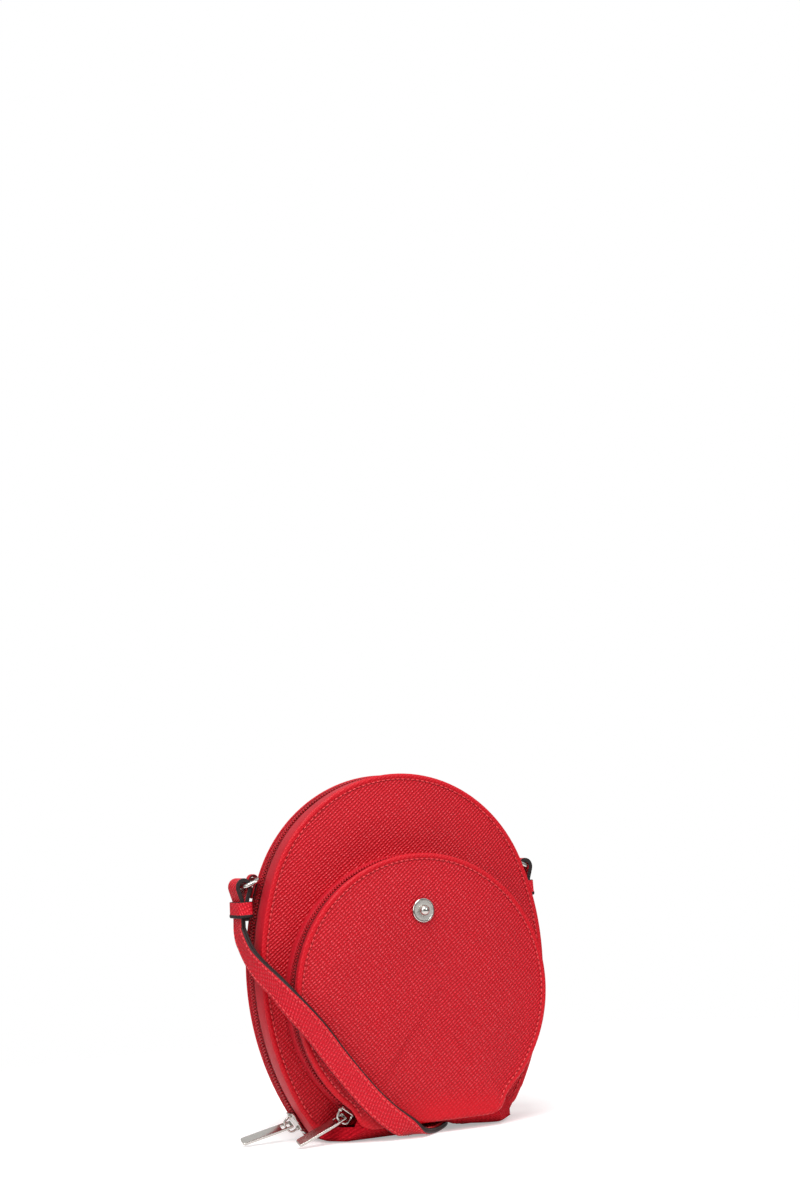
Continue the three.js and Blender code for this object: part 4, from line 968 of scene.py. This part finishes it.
def plate(length, width, bottom, top, nose):
    """A slider's plate: a block whose front end is drawn in to a nose."""
    block = box((length, width, top - bottom), (0, 0, (bottom + top) / 2))
    bpy.ops.object.mode_set(mode="EDIT")
    bpy.ops.mesh.subdivide(number_cuts=3)
    bpy.ops.object.mode_set(mode="OBJECT")
    for vertex in block.data.vertices:
        vertex.co.y *= 1 - nose * np.clip(-vertex.co.x / MM / (length / 2), 0, 1) ** 2
    return block


# %% Sliders
SLIDER_LONG, SLIDER_NOSE, SLIDER_DECK = 10, 0.3, 1.3
TOP_PLATE, UNDER_PLATE = (8.2, -0.3, SLIDER_DECK), (7.0, -4.6, -3.65)
POST_SIZE, POST_PLACE = (2.4, 0.6, 4.4), (-3.6, 0, -2)
CROWN_SIZE, CROWN_X, CROWN_RISE = (2.2, 1.8, 1.3), 3.7, 0.45
TOP_BEVEL, UNDER_BEVEL, POST_BEVEL, CROWN_BEVEL = 0.4, 0.3, 0.12, 0.6
MAIN_ANGLE, POCKET_ANGLE = 31.495, 52.53
BRIDGE_LINE = [(-3.65, -0.2), (-3.65, 1.6), (-3.5, 3.0), (-2.9, 4.2), (-1.6, 4.85), (0, 5.0), (1.6, 4.85),
               (2.9, 4.2), (3.5, 3.0), (3.65, 1.6), (3.65, -0.2)]
BRIDGE_SECTION = [(-0.6, -0.35), (-0.6, 0.35), (-0.4, 0.52), (0.4, 0.52), (0.6, 0.35), (0.6, -0.35),
                  (0.4, -0.52), (-0.4, -0.52)]


def bridge(name):
    line = smooth_line([(x, 0, z + SLIDER_DECK) for x, z in BRIDGE_LINE], 4)
    rise = np.cross(unit(np.gradient(line, axis=0)), ALONG_Y)
    return shell(name, np.array(swept(line, ALONG_Y, rise, BRIDGE_SECTION)) * MM, [], angle=50)


def slider(name, centre, radius, angle_degrees, zip_y):
    """angle_degrees is how far below the level of the centre the slider stands, on the left."""
    parts = [bevelled(plate(SLIDER_LONG, *TOP_PLATE, SLIDER_NOSE), TOP_BEVEL),
             bevelled(plate(SLIDER_LONG, *UNDER_PLATE, SLIDER_NOSE), UNDER_BEVEL),
             bridge(f"{name}_bridge"), bevelled(box(POST_SIZE, POST_PLACE), POST_BEVEL, 1)]
    for x in (-CROWN_X, CROWN_X):
        crown = box(CROWN_SIZE, (x, 0, SLIDER_DECK + CROWN_RISE))
        parts.append(bevelled(crown, CROWN_BEVEL, 2))
    whole = joined(name, parts, nickel)
    a = math.radians(180 + angle_degrees)
    spot = place((centre[0] + radius * math.cos(a), zip_y, centre[1] + radius * math.sin(a)))
    whole.data.transform(Matrix.Translation(Vector(spot)) @ Matrix.Rotation(math.pi / 2 - a, 4, "Y"))
    return whole


main_slider = slider("main_slider_metal", (SIDE_OFFSET, WIDEST_Z), SIDE_RADIUS, MAIN_ANGLE, MAIN_ZIP_Y)
dress(main_slider, "main_slider_body", "nickel", "main_slider")
pocket_slider = slider("pocket_slider_metal", (0, POCKET_Z), POCKET_RADIUS, POCKET_ANGLE, POCKET_ZIP_Y)
dress(pocket_slider, "pocket_slider_body", "nickel", "pocket_slider")

# %% [markdown]
# The puller is a flat bar with an eye at one end and rounded edges. Its outline is extruded, the eye is
# cut by a boolean, and a bevel softens it all, as polishing does. It leans down from the slider's bridge
# until its tip rests just above the floor, and is twisted a little on its way.

# %% Pullers
PULLER_LONG, PULLER_WIDE, PULLER_THICK, PULLER_TWIST = 27.0, 5, 1.6, math.radians(30)
PULLER_OUTLINE = [(-0.7, -2.3), (-0.7, 2.3), (6.5, 2.5), (26.2, 2.5), (PULLER_LONG, 1.7),
                  (PULLER_LONG, -1.7), (26.2, -2.5), (6.5, -2.5)]
EYE_SIZE, EYE_PLACE, PULLER_ROUND, FLOOR_GAP = (4.8, 3.0, 4), (3.1, 0, 0), 0.42, 0.4


def flat_bar():
    deselect()
    bpy.ops.mesh.primitive_circle_add(vertices=len(PULLER_OUTLINE), fill_type="NGON")
    bar = bpy.context.object
    for vertex, (x, y) in zip(bar.data.vertices, PULLER_OUTLINE):
        vertex.co = Vector((x, y, -PULLER_THICK / 2)) * MM
    bpy.ops.object.mode_set(mode="EDIT")
    bpy.ops.mesh.select_all(action="SELECT")
    bpy.ops.mesh.extrude_region_move(TRANSFORM_OT_translate={"value": (0, 0, PULLER_THICK * MM)})
    bpy.ops.mesh.select_all(action="SELECT")
    bpy.ops.mesh.normals_make_consistent(inside=False)
    bpy.ops.object.mode_set(mode="OBJECT")
    return bar


def puller(name, hinge, body, node):
    """hinge is the puller's axis in the frame, in mm."""
    bar = flat_bar()
    cutter = box(EYE_SIZE, EYE_PLACE)
    activate(bar)
    cut = bar.modifiers.new("cut", "BOOLEAN")
    cut.object, cut.operation, cut.solver = cutter, "DIFFERENCE", "EXACT"
    bpy.ops.object.modifier_apply(modifier=cut.name)
    bpy.data.objects.remove(cutter)
    bevelled(bar, PULLER_ROUND)
    under = (PULLER_WIDE * math.sin(PULLER_TWIST) + PULLER_THICK * math.cos(PULLER_TWIST)) / 2
    drop = hinge[2] - under - FLOOR_GAP
    lean = Matrix.Rotation(math.pi - math.asin(drop / PULLER_LONG), 4, "Y")
    face_up = Matrix.Rotation(math.pi - PULLER_TWIST, 4, "X")
    bar.data.transform(Matrix.Translation(Vector(hinge) * MM) @ lean @ face_up)
    bar.name = name
    paint(bar.data, nickel)
    dress(bar, body, "nickel", node)


puller("main_puller_metal", (-58.73, 14.35, 7.87), "main_puller_body", "main_puller")
puller("pocket_puller_metal", (-41.24, -13.35, 12.46), "pocket_puller_body", "pocket_puller")

# %% [markdown]
# ## The ball stud
# A turned stud: a dished satin flange with a raised, polished rim, and a ball in its middle. Spin would
# turn its profile too, but a grid, merged at its seam, can also carry the "satin" attribute.

# %% Stud
STUD_Z, STUD_FACE, STUD_STEPS = 110.5, -21.8, 56
BALL_RADIUS, BALL_HEIGHT, BALL_FROM, BALL_STEPS, STUD_TIP = 2.75, 1.75, -16, 15, 0.01
STUD_PROFILE = [(STUD_TIP, -2.7), (1.5, -2.7), (1.5, 0.3), (5.6, 0.3), (5.95, 0.5), (6, 0.8), (5.9, 1.2),
                (5.6, 1.42), (5.25, 1.42), (5.0, 1.25), (4.85, 1.05), (4.5, 1.0), (3.4, 1.0), (3.1, 1.06),
                (2.85, 1.06)]
SATIN_INNER, SATIN_OUTER, SATIN_LOWEST = 2.8, 5.2, 0.5
STUD_PROFILE += [(BALL_RADIUS * math.cos(a), BALL_HEIGHT + BALL_RADIUS * math.sin(a))
                 for a in np.radians(np.linspace(BALL_FROM, 90, BALL_STEPS)[:-1])]
STUD_PROFILE.append((STUD_TIP, BALL_HEIGHT + BALL_RADIUS))
round_stud = np.linspace(0, 2 * math.pi, STUD_STEPS, endpoint=False)
stud_ring = np.stack([np.cos(round_stud), np.sin(round_stud)], axis=1)
stud_rows = [standing(stud_ring * r + (0, STUD_Z), STUD_FACE - h) for r, h in STUD_PROFILE]
flange = np.array([[float(SATIN_INNER < r < SATIN_OUTER and h > SATIN_LOWEST)] * STUD_STEPS
                   for r, h in STUD_PROFILE])
stud = shell("ball_stud", place(stud_rows), [nickel], angle=30, satin=flange)
dress(stud, "root", "nickel", "stud_cap")

# %% [markdown]
# ## Rings, tabs, strap ends and keepers
# A wire ring on each side hangs in a small leather tab sewn into the rear seam. The strap's end folds
# round the ring and a keeper holds it flat. The wire could be a torus, but its ring is a rounded
# rectangle, so a round section is swept along that line. Fold and tab are strips along a line in x and z.

# %% Ring wire
RING_WIRE, RING_REACH, RING_SPAN, RING_CORNER = 1.2, 8.5, 18.4, 3.2
WIRE_STEPS, CORNER_STEPS = 16, 10


def wire_line():
    straight, far = RING_SPAN / 2 - RING_WIRE - RING_CORNER, RING_REACH - RING_CORNER
    line = []
    for g, y, start, end in ((RING_CORNER, straight, 180, 90), (far, straight, 90, 0),
                             (far, -straight, 0, -90), (RING_CORNER, -straight, -90, -180)):
        line += [(g + RING_CORNER * math.cos(a), y + RING_CORNER * math.sin(a))
                 for a in np.radians(np.linspace(start, end, CORNER_STEPS))]
    return line


def ring(name, pivot, reach):
    """pivot is a point of the ring's hinge and reach the direction from there to its far side."""
    reach = np.array((reach[0], 0, reach[1]))
    normal = np.array((-reach[2], 0, reach[0]))
    line = np.array([pivot + reach * g + np.array((0, y, 0)) for g, y in wire_line()])
    across = np.cross(normal, unit(np.roll(line, -1, axis=0) - np.roll(line, 1, axis=0)))
    section = [(RING_WIRE * math.cos(t), RING_WIRE * math.sin(t))
               for t in np.linspace(0, 2 * math.pi, WIRE_STEPS, endpoint=False)]
    rows = swept(line, across, normal, section)
    return shell(name, place(rows + rows[:1]), [nickel], fill=False, angle=60)


# %% Tab and strap end
TAB_LENGTH, TAB_LEATHER, TAB_GAP, TAB_PLAY, TAB_Y = 9.0, 1.3, 0.3, 0.4, (20.3, 23.5)
TAB_LOOP, TAB_INNER = RING_WIRE + TAB_PLAY + TAB_LEATHER / 2, TAB_GAP + TAB_LEATHER / 2
TAB_OUT, TAB_FLAP = TAB_INNER + TAB_LOOP, TAB_INNER + TAB_LEATHER + TAB_GAP
TAB_SLANT = TAB_LOOP * math.sqrt(0.5)
TAB_LINE = [(TAB_INNER, -TAB_LENGTH), (TAB_INNER, -TAB_LENGTH / 2), (TAB_INNER, 0),
            (TAB_OUT - TAB_SLANT, TAB_SLANT), (TAB_OUT, TAB_LOOP), (TAB_OUT + TAB_SLANT, TAB_SLANT),
            (TAB_OUT + TAB_LOOP, 0), (TAB_OUT + TAB_LOOP * 0.6, -3.2), (TAB_FLAP + 0.2, -TAB_LENGTH / 2),
            (TAB_FLAP, -TAB_LENGTH)]
TAB_PAINT, END_PAINT, END_HALF = [1, 0, 0, 0, 1, 0, 0, 0], [1, 1, 0, 1, 1, 1, 0, 1], 1.1
FOLD_LINE = [(1.25, -17), (1.25, -7.5), (2.4, -3.5), (3.2, 0), (2.26, 2.26), (0, 3.2), (-2.26, 2.26),
             (-3.2, 0), (-2.4, -3.5), (-1.25, -7.5), (-1.25, -11.7)]
STRIP_EDGE = 0.3
print("tab loop", round(TAB_LOOP, 2), "mm round the wire")


def folded_strip(name, line, half, near, far, leather, columns):
    """A rounded strip along a line in x and z, from half its thickness and its two edges in y."""
    edge = min(STRIP_EDGE, half * 0.6)
    section = [(near, -half + edge), (near, half - edge), (near + edge, half), (far - edge, half),
               (far, half - edge), (far, -half + edge), (far - edge, -half), (near + edge, -half)]
    line = standing(line, 0)
    normals = np.cross(unit(np.gradient(line, axis=0)), ALONG_Y)
    return shell(name, place(swept(line, ALONG_Y, normals, section)), [leather, edge_paint], columns)


# %% Keeper
KEEPER_X, KEEPER_Y, KEEPER_CORNER, KEEPER_TOP, KEEPER_FOOT = 3.35, 7.0, 1.6, 7.5, 15.5
KEEPER_PAINT = [1, 1, 1, 0, 1, 1, 1, 1, 1, 0, 0]


def keeper(name, bar, ring_y):
    """A leather loop round both plies, rounded at its corners, with a thick painted lower edge."""
    path = np.array([(sx * (KEEPER_X - KEEPER_CORNER) + KEEPER_CORNER * math.cos(a),
                      sy * (KEEPER_Y - KEEPER_CORNER) + KEEPER_CORNER * math.sin(a), 0)
                     for sx, sy, start in ((1, 1, 0), (-1, 1, 90), (-1, -1, 180), (1, -1, 270))
                     for a in np.radians(np.linspace(start, start + 90, 6))])
    top, foot = bar[1] - KEEPER_TOP, bar[1] - KEEPER_FOOT
    section = [(top - 0.25, 0.75), (top, 0.5), (top, -0.5), (top - 0.2, -0.7), (foot + 0.3, -0.7),
               (foot, -0.5), (foot - 0.1, 0.3), (foot + 0.15, 1.0), (foot + 0.8, 1.25),
               (foot + 1.6, 1.15), (foot + 2.1, 0.85)]
    rows = swept(path + (bar[0], ring_y, 0), ALONG_Z, unit(path), section)
    return shell(name, place(rows + rows[:1]), [strap_leather, edge_paint], KEEPER_PAINT, fill=False)


# %% Hang everything from the sides
SEAT_Z = 129.5


def carrier(side, mirror, ring_y, drop_degrees):
    """The tab on one side, and the ring, strap end and keeper that hang in it."""
    lift = math.asin((SEAT_Z - WIDEST_Z) / SIDE_RADIUS)
    out, rise = np.array((-math.cos(lift), math.sin(lift))), np.array((math.sin(lift), math.cos(lift)))
    seat = np.array((SIDE_OFFSET - SIDE_RADIUS * math.cos(lift), SEAT_Z))
    tab_line = smooth_line([seat + out * u + rise * v for u, v in TAB_LINE], 5) * (mirror, 1)
    tab = folded_strip(f"ring_tab_{side}_leather", tab_line, TAB_LEATHER / 2, *TAB_Y,
                       gusset_leather, TAB_PAINT)
    dress(tab, "root", "smooth_leather", f"ring_tab_{side}")
    body, drop = f"{side}_ring_body", math.radians(drop_degrees)
    pivot = (seat + out * TAB_OUT) * (mirror, 1)
    reach = np.array((-mirror * math.cos(drop), -math.sin(drop)))
    wire = ring(f"ring_{side}_wire", np.array((pivot[0], ring_y, pivot[1])), reach)
    dress(wire, body, "nickel", f"ring_{side}")
    bar = pivot + reach * RING_REACH
    fold_line = smooth_line([bar + (mirror * x, z) for x, z in FOLD_LINE], 6)
    end = folded_strip(f"strap_end_{side}_leather", fold_line, END_HALF,
                       ring_y - STRAP_HALF, ring_y + STRAP_HALF, strap_leather, END_PAINT)
    dress(end, body, "strap_leather", f"strap_end_{side}")
    loop = keeper(f"keeper_{side}_leather", bar, ring_y)
    dress(loop, body, "strap_leather", f"keeper_{side}")


carrier("left", 1, 18.8, 20)
carrier("right", -1, 25.0, 22)

# %% [markdown]
# ## Pieces that stay as the CAD made them
# The stops, the washer and the stiffener are plain solids in the real pouch too, and they hardly show, so
# they only need a finish. The small templates for stitches and teeth have done their work and are removed.

# %% Finishes for the CAD nodes that stay
CAD_FINISHES = {
    "main_zip_stop_left": nickel, "main_zip_stop_right": nickel, "pocket_zip_stop_left": nickel,
    "pocket_zip_stop_right": nickel, "stud_washer": nickel, "base_stiffener": board_cover}
for name, material in CAD_FINISHES.items():
    paint(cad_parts[name].data, material)
for template in (stitch, needle, tooth):
    bpy.data.objects.remove(template)
print("finished CAD nodes", list(CAD_FINISHES))

# %% [markdown]
# ## Floor and light
# The pouch stands on white card under soft studio light: a big lamp above, a weaker one at each side, and
# a white world that is brighter overhead. The card is diffuse, so that it takes the shadow. What the
# camera and polished metal see of it is lifted to white, and it fades out before its edges show.

# %% Floor
CARD_SIZE, CARD_SINK, CARD_FADE, FLOOR_LIFT = 1.4, 0.0002, (0.2, 0.5), 0.38
deselect()
bpy.ops.mesh.primitive_plane_add(size=CARD_SIZE, location=(0, 0, -CARD_SINK))
floor_card = bpy.context.object
floor_card.name = "floor_card"
card, card_tree, card_surface = new_material("white_card", **{
    "Base Color": linear("#E6E4E4"), "Roughness": 0.9, "Emission Color": (1, 1, 1, 1)})
card_rays = add(card_tree, "LightPath").outputs
seen = add(card_tree, "Math", {0: card_rays["Is Camera Ray"], 1: card_rays["Is Glossy Ray"]},
           operation="MAXIMUM")
lifted = add(card_tree, "Math", {0: seen, 1: FLOOR_LIFT}, operation="MULTIPLY")
feed(card_tree, card_surface, {"Emission Strength": lifted})
card_coords = add(card_tree, "TexCoord").outputs["Object"]
from_middle = add(card_tree, "VectorMath", {0: card_coords}, operation="LENGTH")
fade = add(card_tree, "MapRange", {
    "Value": from_middle, "From Min": CARD_FADE[0], "From Max": CARD_FADE[1]})
clear = add(card_tree, "BsdfTransparent")
both = add(card_tree, "MixShader", {0: fade, 1: card_surface, 2: clear})
card_output = next(node for node in card_tree.nodes if node.type == "OUTPUT_MATERIAL")
feed(card_tree, card_output, {"Surface": both})
floor_card.data.materials.append(card)

# %% World
HORIZON, ZENITH, ZENITH_START = 0.2, 0.85, 0.85
world = bpy.data.worlds.new("white_studio")
bpy.context.scene.world = world
world.use_nodes = True
sky_tree = world.node_tree
sky_tree.nodes.clear()
sky_rays = add(sky_tree, "LightPath").outputs
direct = add(sky_tree, "Math", {
    0: sky_rays["Is Camera Ray"], 1: sky_rays["Is Transmission Ray"]}, operation="MAXIMUM")
skyward = add(sky_tree, "TexCoord").outputs["Generated"]
height = add(sky_tree, "SeparateXYZ", {"Vector": skyward})
sky = add(sky_tree, "MapRange", {
    "Value": height.outputs["Z"], "From Max": ZENITH_START, "To Min": HORIZON, "To Max": ZENITH})
strength = add(sky_tree, "Mix", {"Factor": direct, "A": sky, "B": 1.0})
background = add(sky_tree, "Background", {"Color": (1, 1, 1, 1), "Strength": strength})
add(sky_tree, "OutputWorld", {"Surface": background})
print("world from", HORIZON, "at the horizon to", ZENITH, "overhead")

# %% Lamps
LAMP_AIM = Vector((0, 0, 0.08))


def lamp(name, spot, size, watts):
    deselect()
    bpy.ops.object.light_add(type="AREA", location=spot)
    light = bpy.context.object
    light.name = name
    light.data.size, light.data.energy = size, watts
    light.rotation_euler = (LAMP_AIM - Vector(spot)).to_track_quat("-Z", "Y").to_euler()
    print(name, watts, "W")


lamp("top_softbox", (-0.3, -0.5, 1.0), 0.6, 8.6)
lamp("left_softbox", (-1.1, -0.7, 0.5), 0.7, 3.6)
lamp("right_softbox", (0.6, -1.1, 0.7), 0.5, 4.0)
bpy.context.scene.view_settings.view_transform = "Standard"
